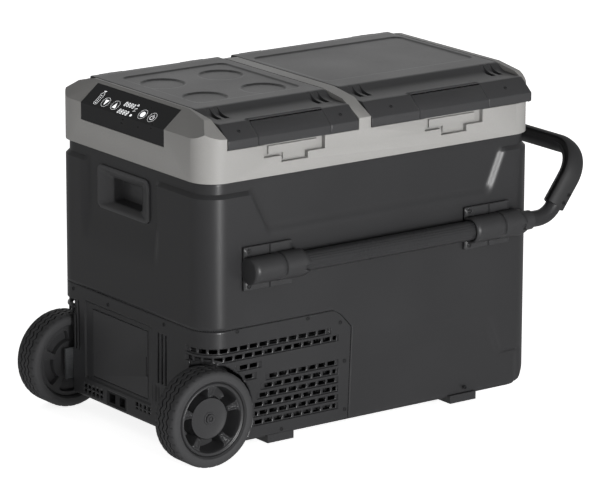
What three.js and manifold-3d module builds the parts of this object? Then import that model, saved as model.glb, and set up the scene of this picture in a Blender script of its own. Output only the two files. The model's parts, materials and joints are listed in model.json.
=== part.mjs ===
// Dual-zone compressor cooler fridge with side rails, a telescopic pull handle and two wheels.
// Millimetres, +Z up. +X points to the pull-handle end, -Y to the latch side.
import * as THREE from 'three';
import { mergeVertices } from 'three/addons/utils/BufferGeometryUtils.js';
import Module from 'manifold-3d';

const wasm = await Module();
wasm.setup();

// ---------------------------------------------------------------- driving dimensions
const GAP = 0.4; // clearance between neighbouring pieces
const FAR = 700; // longer than the object, for cutting tools
const ARC_STEPS = 5; // flats on each rounded corner
const ROUND = 36; // flats round a wheel

const CASE_X = 308; // half length of the cabinet
const CASE_Y = 200; // half depth of the cabinet
const CORNER_R = 40;
const CASE_Z0 = 28;
const CASE_TOP = 423;
const RELIEF = 6; // how far the corner posts stand proud of the panels
const POST_TOP = 404;
const WALL = 5;

const BAY_X = -48; // machine bay: from the left end to here
const BAY_TOP = 200;
const COVER_WALL = 3.5;

const FRAME_TOP = 518;
const FRAME_WALL = 4;
const RIM_Z = 490; // sealing rim that carries the liners
const POCKET_FRONT_Y = -189;
const POCKET_BACK_Y = 184;
const LIP_Z = 472; // bottom edge of the lid lip
const LIP_Y = -201; // outer face of the lid lip and of the latch lever
const SHOULDER_Z = 489; // where the frame's upright walls meet its slopes
const BREAK_Z = 511; // where the slopes meet the nearly flat top

const LIP_TOP_Z = 485; // where the lip bends back into the lid's front slope
const LID_BACK_Y = 164;

const HINGE_Y = 172;
const HINGE_Z = 510;
const PIN_R = 2;
const BARREL_R = 6;
const BARREL_LENGTH = 14;
const BARREL_PITCH = 26; // from one frame barrel to its partner
const HINGE_INSET = [24, 64]; // start of each hinge, from the lid's left end and from its right end

const LIDS = {
  left: { x0: -268, x1: -31, mouth: [-240, -58], floor: 240, lever: [-213, -83] },
  right: { x0: -8, x1: 298, mouth: [20, 270], floor: 75, lever: [83, 213] },
};
const MOUTH_Y = 150;
const LINER_WALL = 2.5;

const LEVER_Y = -181; // the latch lever's pin
const LEVER_Z = 497.5;
const LEVER_R = 5.2;
const LEVER_PIN_R = 1.5;

const RAIL_Y = 218;
const RAIL_Z = 291;
const RAIL_R = 15;
const RAIL_X = [-243, 265];
const BRACKETS = [[-243, -144], [167, 265]];
const INNER_R = 12.6;
const ELBOW_X = 299;
const ELBOW_R = 38;
const ARM_ANGLE = 54 * Math.PI / 180;
const ARM_LENGTH = 98;
const GRIP_BEND_R = 50;
const HANDLE_END_X = 404; // reach of the pull handle when it is pushed in

const WHEEL_X = -303;
const WHEEL_R = 73.5;
const WHEEL_Y = [163, 215];
const ARCH_R = 82;
const WELL_Y = 157;
const AXLE_R = 6;

const DOOR = { y: [-45, 104], z: [65, 170], x: -306 };

// ---------------------------------------------------------------- shape helpers
function toSolid(geometry) {
  const plain = geometry.index ? geometry.toNonIndexed() : geometry.clone();
  plain.deleteAttribute('normal');
  plain.deleteAttribute('uv');
  const merged = mergeVertices(plain, 1e-3);
  return new wasm.Manifold(new wasm.Mesh({
    numProp: 3,
    vertProperties: new Float32Array(merged.attributes.position.array),
    triVerts: new Uint32Array(merged.index.array),
  }));
}

function toGeometry(solid) {
  const mesh = solid.getMesh();
  const geometry = new THREE.BufferGeometry();
  geometry.setAttribute('position', new THREE.BufferAttribute(new Float32Array(mesh.vertProperties), 3));
  geometry.setIndex(new THREE.BufferAttribute(new Uint32Array(mesh.triVerts), 1));
  return geometry;
}

const join = (first, ...others) => others.reduce((all, one) => all.add(one), first);
const cut = (first, ...others) => others.reduce((all, one) => all.subtract(one), first);

function box(x0, x1, y0, y1, z0, z1) {
  const geometry = new THREE.BoxGeometry(x1 - x0, y1 - y0, z1 - z0);
  geometry.translate((x0 + x1) / 2, (y0 + y1) / 2, (z0 + z1) / 2);
  return toSolid(geometry);
}

function extrude(shape, depth) {
  return new THREE.ExtrudeGeometry(shape, { depth, bevelEnabled: false, curveSegments: ARC_STEPS });
}

const outline = (points) => new THREE.Shape(points.map(([u, v]) => new THREE.Vector2(u, v)));

// An outline in (y, z), carried along X.
function prismX(points, x0, x1) {
  const geometry = extrude(outline(points), x1 - x0);
  geometry.applyMatrix4(new THREE.Matrix4().set(0, 0, 1, x0, 1, 0, 0, 0, 0, 1, 0, 0, 0, 0, 0, 1));
  return toSolid(geometry);
}

// An outline in (x, z), carried along Y.
function prismY(points, y0, y1) {
  const geometry = extrude(outline(points), y1 - y0);
  geometry.applyMatrix4(new THREE.Matrix4().set(1, 0, 0, 0, 0, 0, -1, y1, 0, 1, 0, 0, 0, 0, 0, 1));
  return toSolid(geometry);
}

// A box with rounded vertical edges.
function roundedBlock(x0, x1, y0, y1, radius, z0, z1) {
  const shape = new THREE.Shape();
  shape.moveTo(x0 + radius, y0);
  shape.lineTo(x1 - radius, y0);
  shape.absarc(x1 - radius, y0 + radius, radius, -Math.PI / 2, 0);
  shape.lineTo(x1, y1 - radius);
  shape.absarc(x1 - radius, y1 - radius, radius, 0, Math.PI / 2);
  shape.lineTo(x0 + radius, y1);
  shape.absarc(x0 + radius, y1 - radius, radius, Math.PI / 2, Math.PI);
  shape.lineTo(x0, y0 + radius);
  shape.absarc(x0 + radius, y0 + radius, radius, Math.PI, Math.PI * 1.5);
  const geometry = extrude(shape, z1 - z0);
  geometry.translate(0, 0, z0);
  return toSolid(geometry);
}

function centredBlock(halfX, halfY, radius, z0, z1) {
  return roundedBlock(-halfX, halfX, -halfY, halfY, radius, z0, z1);
}

// Cylinders along each axis; the centre is given in the two other axes.
function cylinderY(x, z, radius, y0, y1, sides = 24) {
  const geometry = new THREE.CylinderGeometry(radius, radius, y1 - y0, sides);
  geometry.translate(x, (y0 + y1) / 2, z);
  return toSolid(geometry);
}

function cylinderX(y, z, radius, x0, x1, sides = 12) {
  const geometry = new THREE.CylinderGeometry(radius, radius, x1 - x0, sides);
  geometry.rotateZ(-Math.PI / 2);
  geometry.translate((x0 + x1) / 2, y, z);
  return toSolid(geometry);
}

function cylinderZ(x, y, radius, z0, z1, sides = 20) {
  const geometry = new THREE.CylinderGeometry(radius, radius, z1 - z0, sides);
  geometry.rotateX(Math.PI / 2);
  geometry.translate(x, y, (z0 + z1) / 2);
  return toSolid(geometry);
}

// A body turned about the Y axis from (radius, y) pairs.
function turnedY(profile, sides = 40) {
  const points = profile.map(([radius, y]) => new THREE.Vector2(radius, y));
  return new THREE.LatheGeometry([...points, points[0]], sides);
}

// A rod or tube cover: an outline carried along a curve.
function sweep(shape, curve, steps) {
  return toSolid(new THREE.ExtrudeGeometry(shape, { extrudePath: curve, steps, curveSegments: 8 }));
}

function ellipseShape(a, b, sides) {
  const points = [];
  for (let i = 0; i < sides; i += 1) {
    const angle = i * 2 * Math.PI / sides;
    points.push([a * Math.cos(angle), b * Math.sin(angle)]);
  }
  return outline(points);
}

// Mirrors a solid from the latch side (-Y) to the hinge side (+Y).
const mirrored = (solid) => solid.mirror([0, 1, 0]);

// ---------------------------------------------------------------- materials
const finishes = {
  charcoal: { color: 0x3a3a3a, roughness: 0.62, metalness: 0 },
  lidGrey: { color: 0x5c5c5c, roughness: 0.6, metalness: 0 },
  frameGrey: { color: 0xa5a39f, roughness: 0.55, metalness: 0 },
  liner: { color: 0xe6e6e2, roughness: 0.4, metalness: 0 },
  foam: { color: 0xe8dcae, roughness: 0.95, metalness: 0 },
  rubber: { color: 0x2c2c2c, roughness: 0.85, metalness: 0 },
  tube: { color: 0x404040, roughness: 0.4, metalness: 0.4 },
  steel: { color: 0x9aa0a4, roughness: 0.35, metalness: 0.9 },
  aluminium: { color: 0xc4c7c9, roughness: 0.4, metalness: 0.9 },
  copper: { color: 0xb87346, roughness: 0.35, metalness: 0.9 },
  black: { color: 0x151515, roughness: 0.25, metalness: 0 },
  board: { color: 0x1f5a3a, roughness: 0.5, metalness: 0 },
};

const fridge = new THREE.Group();
const OVERALL_X = [WHEEL_X - WHEEL_R, HANDLE_END_X]; // overall ends, for centring the object
fridge.position.set(-(OVERALL_X[0] + OVERALL_X[1]) / 2, 0, 0);

function addMesh(name, shape, finish) {
  const geometry = shape.isBufferGeometry ? shape : toGeometry(shape);
  const mesh = new THREE.Mesh(geometry, new THREE.MeshStandardMaterial(finishes[finish]));
  mesh.name = name;
  fridge.add(mesh);
  return mesh;
}

// ---------------------------------------------------------------- cabinet shell
// The cover's edge on the front and back faces, seen from the front.
function bayOutline(grow) {
  return [
    [-FAR, CASE_Z0 - 20],
    [BAY_X + grow, CASE_Z0 - 20],
    [BAY_X + 6 + grow, 171],
    [-62 + grow, 192],
    [-76 + grow, BAY_TOP + grow],
    [-FAR, BAY_TOP + grow],
  ];
}

function panelRecesses() {
  const high = [[-229, POST_TOP], [-194, 342], [216, 342], [246, POST_TOP]];
  const front = prismY(high, -CASE_Y - 1, -CASE_Y + RELIEF);
  const end = box(-CASE_X - 1, -CASE_X + RELIEF, -72, 124, 283, POST_TOP + 1);
  const otherEnd = box(CASE_X - RELIEF, CASE_X + 1, -124, 72, 283, POST_TOP + 1);
  const low = [[-30, 70], [240, 70], [240, 81], [211, 150], [-30, 150]];
  const lowFront = prismY(low, -CASE_Y - 1, -CASE_Y + RELIEF / 2);
  return [front, mirrored(front), end, otherEnd, lowFront, mirrored(lowFront)];
}

const GRIP_CUP = { y: [-44, 86], z: [338, 398], depth: 26 };

function gripHole(side, grow) {
  const reach = CASE_X - RELIEF - GRIP_CUP.depth - grow;
  const [y0, y1] = side < 0 ? GRIP_CUP.y : [-GRIP_CUP.y[1], -GRIP_CUP.y[0]];
  const [z0, z1] = GRIP_CUP.z;
  const [xa, xb] = side < 0 ? [-FAR, -reach] : [reach, FAR];
  return box(xa, xb, y0 - grow, y1 + grow, z0 - grow, z1 + grow);
}

{
  const inset = RELIEF + WALL;
  let shell = join(
    centredBlock(CASE_X, CASE_Y, CORNER_R, CASE_Z0, POST_TOP),
    centredBlock(CASE_X - RELIEF, CASE_Y - RELIEF, CORNER_R - RELIEF, POST_TOP - 1, CASE_TOP),
  );
  shell = cut(shell, ...panelRecesses());
  const room = centredBlock(CASE_X - inset, CASE_Y - inset, CORNER_R - inset, CASE_Z0 + WALL, CASE_TOP + 1);
  shell = cut(shell, room);
  shell = cut(shell, prismY(bayOutline(0), -FAR, FAR), gripHole(-1, GAP), gripHole(1, GAP));
  addMesh('outer_case', shell, 'charcoal');
}

// ---------------------------------------------------------------- machine bay cover
// Louvre rows on the front and back: centre height, left end, right end.
const LOUVRES = [
  [170, -262, -83], [157, -262, -69],
  [118.5, -194, -69], [104.5, -202, -69], [92.5, -212, -69],
  [78, -214, -69], [64, -214, -69], [50.5, -214, -69],
];
const LOUVRE_HEIGHT = 7;
const LOUVRE_RIB = 4;

function louvreCuts() {
  const cuts = [];
  for (const [z, x0, x1] of LOUVRES) {
    const middle = (x0 + x1) / 2;
    for (const [a, b] of [[x0, middle - LOUVRE_RIB / 2], [middle + LOUVRE_RIB / 2, x1]]) {
      const half = LOUVRE_HEIGHT / 2;
      const slot = box(a, b, -CASE_Y - 1, -CASE_Y + COVER_WALL + 1, z - half, z + half);
      cuts.push(slot, mirrored(slot));
    }
  }
  for (const y of [-98, -88, -78, 143, 153, 163]) {
    cuts.push(box(-CASE_X - 1, -CASE_X + COVER_WALL + 1, y, y + 5, 98, 176));
  }
  return cuts;
}

const SOCKET_PANEL = { y: [11, 63], z: [32, 52], mouths: [[16, 30], [42, 58]], thick: 22 };

{
  let cover = centredBlock(CASE_X, CASE_Y, CORNER_R, CASE_Z0, BAY_TOP);
  const inner = centredBlock(CASE_X - COVER_WALL, CASE_Y - COVER_WALL, CORNER_R - COVER_WALL, 0, FAR);
  cover = cut(cover, inner).intersect(prismY(bayOutline(-GAP), -FAR, FAR));
  for (const side of [-1, 1]) {
    const inside = side < 0 ? [-FAR, -WELL_Y + 3 + GAP] : [WELL_Y - 3 - GAP, FAR];
    cover = cut(cover, cylinderY(WHEEL_X, WHEEL_R, ARCH_R + 3 + GAP, inside[0], inside[1], ROUND));
  }
  const [y0, y1] = DOOR.y;
  const [z0, z1] = DOOR.z;
  cover = cut(cover, box(-FAR, -CASE_X + 10, y0 - 1, y1 + 1, z0 - 1, z1 + 1), ...louvreCuts());
  const [sy, sz] = [SOCKET_PANEL.y, SOCKET_PANEL.z];
  cover = cut(cover, box(-FAR, -CASE_X + 10, sy[0] - GAP, sy[1] + GAP, sz[0] - GAP, sz[1] + GAP));
  addMesh('machine_cover', cover, 'charcoal');
}

// Wheel wells: a side wall and a curved roof round the inner half of each wheel.
function wheelWell() {
  const drum = cylinderY(WHEEL_X, WHEEL_R, ARCH_R + 3, -CASE_Y + COVER_WALL + GAP, -WELL_Y + 3, ROUND);
  const room = cylinderY(WHEEL_X, WHEEL_R, ARCH_R, -FAR, -WELL_Y, ROUND);
  const skin = COVER_WALL + GAP;
  const bay = roundedBlock(-CASE_X + skin, 0, -CASE_Y + skin, 0, CORNER_R - 4, CASE_Z0, BAY_TOP);
  return cut(drum.intersect(bay), room);
}
addMesh('wheel_well_front', wheelWell(), 'charcoal');
addMesh('wheel_well_rear', mirrored(wheelWell()), 'charcoal');

// Base pan with four moulded feet, and two rubber feet under the handle end.
const FOOT_X = [[-196, -148], [148, 198]];
const FOOT_Z = 14.7;
const RUBBER_FEET = [[268, -95], [268, 95]];
{
  let pan = centredBlock(CASE_X - 12, CASE_Y - 8, CORNER_R - 8, CASE_Z0 - GAP - 4, CASE_Z0 - GAP);
  for (const [x0, x1] of FOOT_X) {
    const foot = box(x0, x1, -CASE_Y + 0.5, -CASE_Y + 40, FOOT_Z, CASE_Z0 - GAP);
    pan = join(pan, foot, mirrored(foot));
  }
  const arch = cylinderY(WHEEL_X, WHEEL_R, ARCH_R + 4, -FAR, -WELL_Y + 4, ROUND);
  addMesh('base_pan', cut(pan, arch, mirrored(arch)), 'charcoal');
}
RUBBER_FEET.forEach(([x, y], i) => {
  const pad = cylinderZ(x, y, 16, 0, CASE_Z0 - 2 * GAP - 4);
  addMesh(['rubber_foot_front', 'rubber_foot_rear'][i], pad, 'rubber');
});

// ---------------------------------------------------------------- insulation and liners
const BULKHEAD = 2.5;
{
  const inset = RELIEF + WALL + 2;
  const right = BAY_X + 12;
  const roofZ = BAY_TOP + 4;
  const [halfX, halfY] = [CASE_X - inset, CASE_Y - inset - 1];
  const sheet = centredBlock(halfX, halfY, CORNER_R - inset, roofZ, roofZ + BULKHEAD);
  const roof = sheet.intersect(box(-FAR, right, -FAR, FAR, 0, FAR));
  const wall = box(right - BULKHEAD, right, -186, 186, CASE_Z0 + WALL + GAP, roofZ + BULKHEAD);
  addMesh('bay_bulkhead', join(roof, wall), 'aluminium');
}

{
  const inset = RELIEF + WALL + GAP;
  let foam = centredBlock(CASE_X - inset, CASE_Y - inset, CORNER_R - inset, CASE_Z0 + WALL + GAP, CASE_TOP);
  foam = cut(foam, box(-FAR, BAY_X + 12 + GAP, -FAR, FAR, 0, BAY_TOP + 4 + BULKHEAD + GAP));
  for (const { mouth, floor } of Object.values(LIDS)) {
    foam = cut(foam, roundedBlock(mouth[0], mouth[1], -MOUTH_Y, MOUTH_Y + 5, 20, floor - GAP, FAR));
  }
  foam = cut(foam, gripHole(-1, 2), gripHole(1, 2));
  addMesh('insulation_foam', foam, 'foam');
}

for (const [side, { mouth, floor }] of Object.entries(LIDS)) {
  const [m0, m1] = mouth;
  const tub = roundedBlock(m0 + 1, m1 - 1, -MOUTH_Y + 1, MOUTH_Y - 1, 20, floor, RIM_Z + 1);
  const flange = roundedBlock(m0 - 10, m1 + 10, -MOUTH_Y - 10, MOUTH_Y + 10, 24, RIM_Z + GAP, RIM_Z + 3);
  const inside = 1 + LINER_WALL;
  const halfY = MOUTH_Y - inside;
  const room = roundedBlock(m0 + inside, m1 - inside, -halfY, halfY, 17.5, floor + LINER_WALL, FAR);
  addMesh(`liner_${side}`, cut(join(tub, flange), room), 'liner');
  const plate = box(m0 + 24, m1 - 24, MOUTH_Y - 1 + GAP, MOUTH_Y + 2, floor + 30, 410);
  addMesh(`evaporator_${side}`, plate, 'aluminium');
}

// Hand-grip cups in both ends.
function gripCup(side) {
  const [y0, y1] = side < 0 ? GRIP_CUP.y : [-GRIP_CUP.y[1], -GRIP_CUP.y[0]];
  const [z0, z1] = GRIP_CUP.z;
  const face = CASE_X - RELIEF;
  const at = (a, b, ...rest) => (side < 0 ? box(-b, -a, ...rest) : box(a, b, ...rest));
  const bowl = at(face - GRIP_CUP.depth, face + 1, y0, y1, z0, z1);
  const flange = at(face + GAP, face + 2.5, y0 - 5, y1 + 5, z0 - 4, z1 + 4);
  const room = at(face - GRIP_CUP.depth + 2.5, FAR, y0 + 2.5, y1 - 2.5, z0 + 2.5, z1 - 2.5);
  return cut(join(bowl, flange), room);
}
addMesh('grip_cup_left', gripCup(-1), 'charcoal');
addMesh('grip_cup_right', gripCup(1), 'charcoal');

// ---------------------------------------------------------------- upper frame
const PANEL_Y = [-94, 128];
const PANEL_THICK = 3;
const LATCH_WIDE = 55; // half width of the upper part of the latch recess
const LATCH_NARROW = 24;
const LATCH_DEEP = 8;

const CHAMFER = { top: [-272, FRAME_TOP], foot: [-CASE_X, SHOULDER_Z] }; // slope at the control end
const PANEL_TOP = [-276.7, 514.2];
const PANEL_BOTTOM_Z = 462.7;

// Display panel section: it runs down the end chamfer and on down the end face.
// "out" is how far it reaches past the surface, "deep" how far inside, "ends" how much longer.
function panelSection(out, deep, ends) {
  const run = new THREE.Vector2(...CHAMFER.top).sub(new THREE.Vector2(...CHAMFER.foot)).normalize();
  const normal = new THREE.Vector2(-run.y, run.x);
  const bend = Math.tan(Math.acos(run.y) / 2);
  const along = (offset) => [
    PANEL_TOP[0] + normal.x * offset + run.x * ends,
    PANEL_TOP[1] + normal.y * offset + run.y * ends,
  ];
  return [
    along(out),
    [-CASE_X - out, CHAMFER.foot[1] + out * bend],
    [-CASE_X - out, PANEL_BOTTOM_Z - ends],
    [-CASE_X + deep, PANEL_BOTTOM_Z - ends],
    [-CASE_X + deep, CHAMFER.foot[1] - deep * bend],
    along(-deep),
  ];
}

{
  const section = [
    [-CASE_Y, CASE_TOP + GAP], [CASE_Y, CASE_TOP + GAP], [CASE_Y, SHOULDER_Z], [175, BREAK_Z],
    [145, FRAME_TOP], [-108, FRAME_TOP], [-158, BREAK_Z], [-CASE_Y, SHOULDER_Z],
  ];
  const length = [
    [-CASE_X, CASE_TOP], [CASE_X, CASE_TOP], [CASE_X, FRAME_TOP], CHAMFER.top, CHAMFER.foot,
  ];
  let ring = centredBlock(CASE_X, CASE_Y, CORNER_R, CASE_TOP + GAP, FRAME_TOP);
  ring = ring.intersect(prismX(section, -FAR, FAR)).intersect(prismY(length, -FAR, FAR));
  for (const { x0, x1, mouth, lever } of Object.values(LIDS)) {
    const pocket = [
      [-CASE_Y - 5, LIP_Z - 0.5], [POCKET_FRONT_Y, LIP_Z - 0.5], [POCKET_FRONT_Y, 482], [-178, RIM_Z],
      [POCKET_BACK_Y, RIM_Z], [POCKET_BACK_Y, FRAME_TOP + 5], [-CASE_Y - 5, FRAME_TOP + 5],
    ];
    ring = cut(ring, prismX(pocket, x0 - 0.5, x1 + 0.5));
    ring = cut(ring, roundedBlock(mouth[0], mouth[1], -MOUTH_Y, MOUTH_Y, 21, 0, FAR));
    const middle = (lever[0] + lever[1]) / 2;
    const recess = prismY([
      [-LATCH_WIDE, FRAME_TOP], [-LATCH_WIDE, 452], [-LATCH_NARROW, 452], [-LATCH_NARROW, 442],
      [LATCH_NARROW, 442], [LATCH_NARROW, 452], [LATCH_WIDE, 452], [LATCH_WIDE, FRAME_TOP],
    ].map(([x, z]) => [x + middle, Math.min(z, LIP_Z)]), -CASE_Y - 1, -CASE_Y + LATCH_DEEP);
    ring = cut(ring, recess);
    for (const end of [x0 + HINGE_INSET[0], x1 - HINGE_INSET[1]]) {
      for (const from of [end, end + BARREL_PITCH]) {
        const to = from + BARREL_LENGTH;
        const block = box(from, to, HINGE_Y - 7, HINGE_Y + 5, RIM_Z - 1, HINGE_Z);
        ring = join(ring, block, cylinderX(HINGE_Y, HINGE_Z, BARREL_R, from, to));
      }
    }
    ring = cut(ring, cylinderX(HINGE_Y, HINGE_Z, PIN_R + GAP, x0 - 0.4, x1 + 0.4, 10));
  }
  // Hollow underneath, between the outer wall and the mouths.
  const under = centredBlock(CASE_X - 8, CASE_Y - 13, CORNER_R - 12, 0, RIM_Z - 20);
  let hollow = under;
  for (const { mouth } of Object.values(LIDS)) {
    const [w0, w1, wy] = [mouth[0] - FRAME_WALL, mouth[1] + FRAME_WALL, MOUTH_Y + FRAME_WALL];
    const wall = roundedBlock(w0, w1, -wy, wy, 24, -1, FAR);
    hollow = cut(hollow, wall);
  }
  ring = cut(ring, hollow);
  ring = cut(ring, prismY(panelSection(1, PANEL_THICK + GAP, GAP), PANEL_Y[0] - GAP, PANEL_Y[1] + GAP));
  addMesh('upper_frame', ring, 'frameGrey');
}

{
  addMesh('display_panel', prismY(panelSection(0, PANEL_THICK, 0), PANEL_Y[0], PANEL_Y[1]), 'black');
  addMesh('control_board', box(-299.6, -298, -70, 100, 432, 468), 'board');
}

// ---------------------------------------------------------------- lids
for (const [side, lid] of Object.entries(LIDS)) {
  const { x0, x1, mouth, lever } = lid;
  const outer = [
    [LIP_Y, LIP_Z], [LIP_Y + 5, LIP_Z], [LIP_Y + 5, 481.5], [-181, 494], [LID_BACK_Y, 494],
    [LID_BACK_Y, FRAME_TOP], [-117, FRAME_TOP], [-128, 509], [-175, 506], [LIP_Y, LIP_TOP_Z],
  ];
  const cavity = [[-172, 480], [162, 480], [162, 512], [-121, 512], [-130, 503], [-172, 501]];
  let shell = cut(prismX(outer, x0, x1), prismX(cavity, x0 + 3, x1 - 3));
  const [r0, r1, r2, r3] = side === 'left' ? [x0 + 28, x1 - 19, -85, 125] : [x0 + 10, x1 - 10, -74, 126];
  shell = cut(shell, roundedBlock(r0, r1, r2, r3, 14, FRAME_TOP - 1.5, FRAME_TOP + 1));
  if (side === 'left') {
    for (const [cx, cy] of [[-205, 61], [-99, 61], [-205, -51], [-99, -51]]) {
      shell = cut(shell, cylinderZ(cx, cy, 34, FRAME_TOP - 3.5, FRAME_TOP + 1, 24));
    }
  }
  // Pocket for the latch lever.
  const pocketY = LEVER_Y + LEVER_R + GAP;
  shell = cut(shell, box(lever[0] - GAP, lever[1] + GAP, -FAR, pocketY, LIP_Z - 5, FRAME_TOP));
  shell = cut(shell, cylinderX(LEVER_Y, LEVER_Z, LEVER_PIN_R + GAP, lever[0] - 7, lever[1] + 7, 10));
  // Hinge barrels between the frame's barrels.
  for (const end of [x0 + HINGE_INSET[0], x1 - HINGE_INSET[1]]) {
    const a = end + BARREL_LENGTH + GAP;
    const b = end + BARREL_PITCH - GAP;
    const arm = box(a, b, LID_BACK_Y - 1, HINGE_Y, HINGE_Z - 4, HINGE_Z + 4);
    shell = join(shell, cylinderX(HINGE_Y, HINGE_Z, BARREL_R, a, b), arm);
    for (const from of [end, end + BARREL_PITCH]) {
      const to = from + BARREL_LENGTH;
      shell = cut(shell, box(from - GAP, to + GAP, HINGE_Y - 8, HINGE_Y + 8, 480, FRAME_TOP + 1));
    }
  }
  shell = cut(shell, cylinderX(HINGE_Y, HINGE_Z, PIN_R + GAP, x0 - 1, x1 + 1, 10));
  addMesh(`lid_shell_${side}`, shell, 'lidGrey');

  addMesh(`hinge_pin_${side}`, cylinderX(HINGE_Y, HINGE_Z, PIN_R, x0 + 1, x1 - 1, 10), 'steel');

  const plate = box(x0 + 6, x1 - 6, -168, 158, 497, 500);
  const plug = roundedBlock(mouth[0] + 10, mouth[1] - 10, -MOUTH_Y + 12, MOUTH_Y - 10, 16, 484, 498);
  addMesh(`lid_panel_${side}`, join(plate, plug), 'liner');

  const ringOuter = roundedBlock(mouth[0] - 9, mouth[1] + 9, -MOUTH_Y - 9, MOUTH_Y + 9, 23, 493.4, 496.6);
  const ringInner = roundedBlock(mouth[0] - 1, mouth[1] + 1, -MOUTH_Y - 1, MOUTH_Y + 1, 16, 490, 500);
  addMesh(`lid_gasket_${side}`, cut(ringOuter, ringInner), 'rubber');

  // Latch lever, turning on a pin near its top edge.
  const section = [[LIP_Y, LIP_TOP_Z], [LIP_Y, LIP_Z], [LIP_Y + 4.5, LIP_Z], [LIP_Y + 4.5, 482]];
  for (let degrees = -120; degrees <= 72; degrees += 24) {
    const angle = degrees * Math.PI / 180;
    section.push([LEVER_Y + LEVER_R * Math.cos(angle), LEVER_Z + LEVER_R * Math.sin(angle)]);
  }
  const bore = cylinderX(LEVER_Y, LEVER_Z, LEVER_PIN_R + GAP, lever[0] - 1, lever[1] + 1, 10);
  addMesh(`latch_lever_${side}`, cut(prismX(section, lever[0], lever[1]), bore), 'charcoal');
  const pin = cylinderX(LEVER_Y, LEVER_Z, LEVER_PIN_R, lever[0] - 6, lever[1] + 6, 10);
  addMesh(`latch_pin_${side}`, pin, 'steel');
  // Strike plate in the frame's recess under the lever: a wide part and a narrow step below it.
  const middle = (lever[0] + lever[1]) / 2;
  const plateY = -CASE_Y + LATCH_DEEP - GAP;
  const strike = box(middle - 44, middle + 44, plateY - 3, plateY, 455, 468);
  const step = box(middle - 18, middle + 18, plateY - 3, plateY, 445, 456);
  addMesh(`latch_strike_${side}`, join(strike, step), 'frameGrey');
}

// ---------------------------------------------------------------- side rails and pull handle
const TUBE_WALL = 1.8;
const SADDLE_R = 20;
const BRACKET_Z = 33; // half height of a bracket's foot

function railBracket(x0, x1) {
  const section = [[-CASE_Y - GAP, RAIL_Z - BRACKET_Z], [-CASE_Y - GAP, RAIL_Z + BRACKET_Z]];
  const foot = -CASE_Y - 6;
  section.push([foot, RAIL_Z + BRACKET_Z], [foot, RAIL_Z + 22], [foot - 3, RAIL_Z + 17]);
  for (let degrees = 60; degrees <= 300; degrees += 20) {
    const angle = degrees * Math.PI / 180;
    section.push([-RAIL_Y + SADDLE_R * Math.cos(angle), RAIL_Z + SADDLE_R * Math.sin(angle)]);
  }
  section.push([foot - 3, RAIL_Z - 17], [foot, RAIL_Z - 22], [foot, RAIL_Z - BRACKET_Z]);
  return cut(prismX(section, x0, x1), cylinderX(-RAIL_Y, RAIL_Z, RAIL_R + GAP, x0 - 1, x1 + 1, 20));
}

for (const [row, place] of [[0, 'left'], [1, 'right']]) {
  const bracket = railBracket(...BRACKETS[row]);
  addMesh(`rail_bracket_front_${place}`, bracket, 'charcoal');
  addMesh(`rail_bracket_rear_${place}`, mirrored(bracket), 'charcoal');
}

{
  const tube = cut(
    cylinderX(-RAIL_Y, RAIL_Z, RAIL_R, RAIL_X[0] + 3, RAIL_X[1] - 1, 20),
    cylinderX(-RAIL_Y, RAIL_Z, RAIL_R - TUBE_WALL, -FAR, FAR, 20),
  );
  addMesh('rail_tube_front', tube, 'tube');
  addMesh('rail_tube_rear', mirrored(tube), 'tube');
  // Guide collar on the tube's open end, in front of the bracket.
  const collar = cut(
    cylinderX(-RAIL_Y, RAIL_Z, RAIL_R, RAIL_X[1] + GAP, RAIL_X[1] + 18, 20),
    cylinderX(-RAIL_Y, RAIL_Z, INNER_R + GAP, -FAR, FAR, 20),
  );
  addMesh('guide_collar_front', collar, 'charcoal');
  addMesh('guide_collar_rear', mirrored(collar), 'charcoal');
}

// Centre line of a slide tube: straight, then an elbow that turns up towards the grip.
const INNER_X0 = -40;
const armDirection = new THREE.Vector3(Math.cos(ARM_ANGLE), 0, Math.sin(ARM_ANGLE));
const armStart = new THREE.Vector3(
  ELBOW_X + ELBOW_R * Math.sin(ARM_ANGLE), -RAIL_Y, RAIL_Z + ELBOW_R * (1 - Math.cos(ARM_ANGLE)),
);
const SPIGOT_R = 8;
const SPIGOT_LENGTH = 22;

class PointPath extends THREE.Curve {
  constructor(points) {
    super();
    this.points = points;
  }
  getPoint(t, target = new THREE.Vector3()) {
    const place = t * (this.points.length - 1);
    const i = Math.min(Math.floor(place), this.points.length - 2);
    return target.copy(this.points[i]).lerp(this.points[i + 1], place - i);
  }
  getPointAt(t, target) {
    return this.getPoint(t, target);
  }
  getTangentAt(t) {
    const before = this.getPoint(Math.max(0, t - 1e-3));
    return this.getPoint(Math.min(1, t + 1e-3)).sub(before).normalize();
  }
}

// A round peg along the arm's centre line, between two distances from its start.
function armPeg(radius, from, to) {
  const geometry = new THREE.CylinderGeometry(radius, radius, to - from, 12);
  geometry.rotateX(Math.PI / 2);
  geometry.rotateY(Math.PI / 2 - ARM_ANGLE);
  const centre = armStart.clone().addScaledVector(armDirection, (from + to) / 2);
  geometry.translate(centre.x, centre.y, centre.z);
  return toSolid(geometry);
}

function slideTube() {
  const path = [new THREE.Vector3(INNER_X0, -RAIL_Y, RAIL_Z)];
  const STEPS = 6;
  for (let i = 0; i <= STEPS; i += 1) {
    const turn = ARM_ANGLE * i / STEPS;
    const rise = ELBOW_R * (1 - Math.cos(turn));
    path.push(new THREE.Vector3(ELBOW_X + ELBOW_R * Math.sin(turn), -RAIL_Y, RAIL_Z + rise));
  }
  path.push(armStart.clone().add(armDirection));
  const rod = sweep(ellipseShape(INNER_R, INNER_R, 20), new PointPath(path), path.length - 1);
  return join(rod, armPeg(SPIGOT_R, -10, SPIGOT_LENGTH));
}
addMesh('slide_tube_front', slideTube(), 'tube');
addMesh('slide_tube_rear', mirrored(slideTube()), 'tube');

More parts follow.
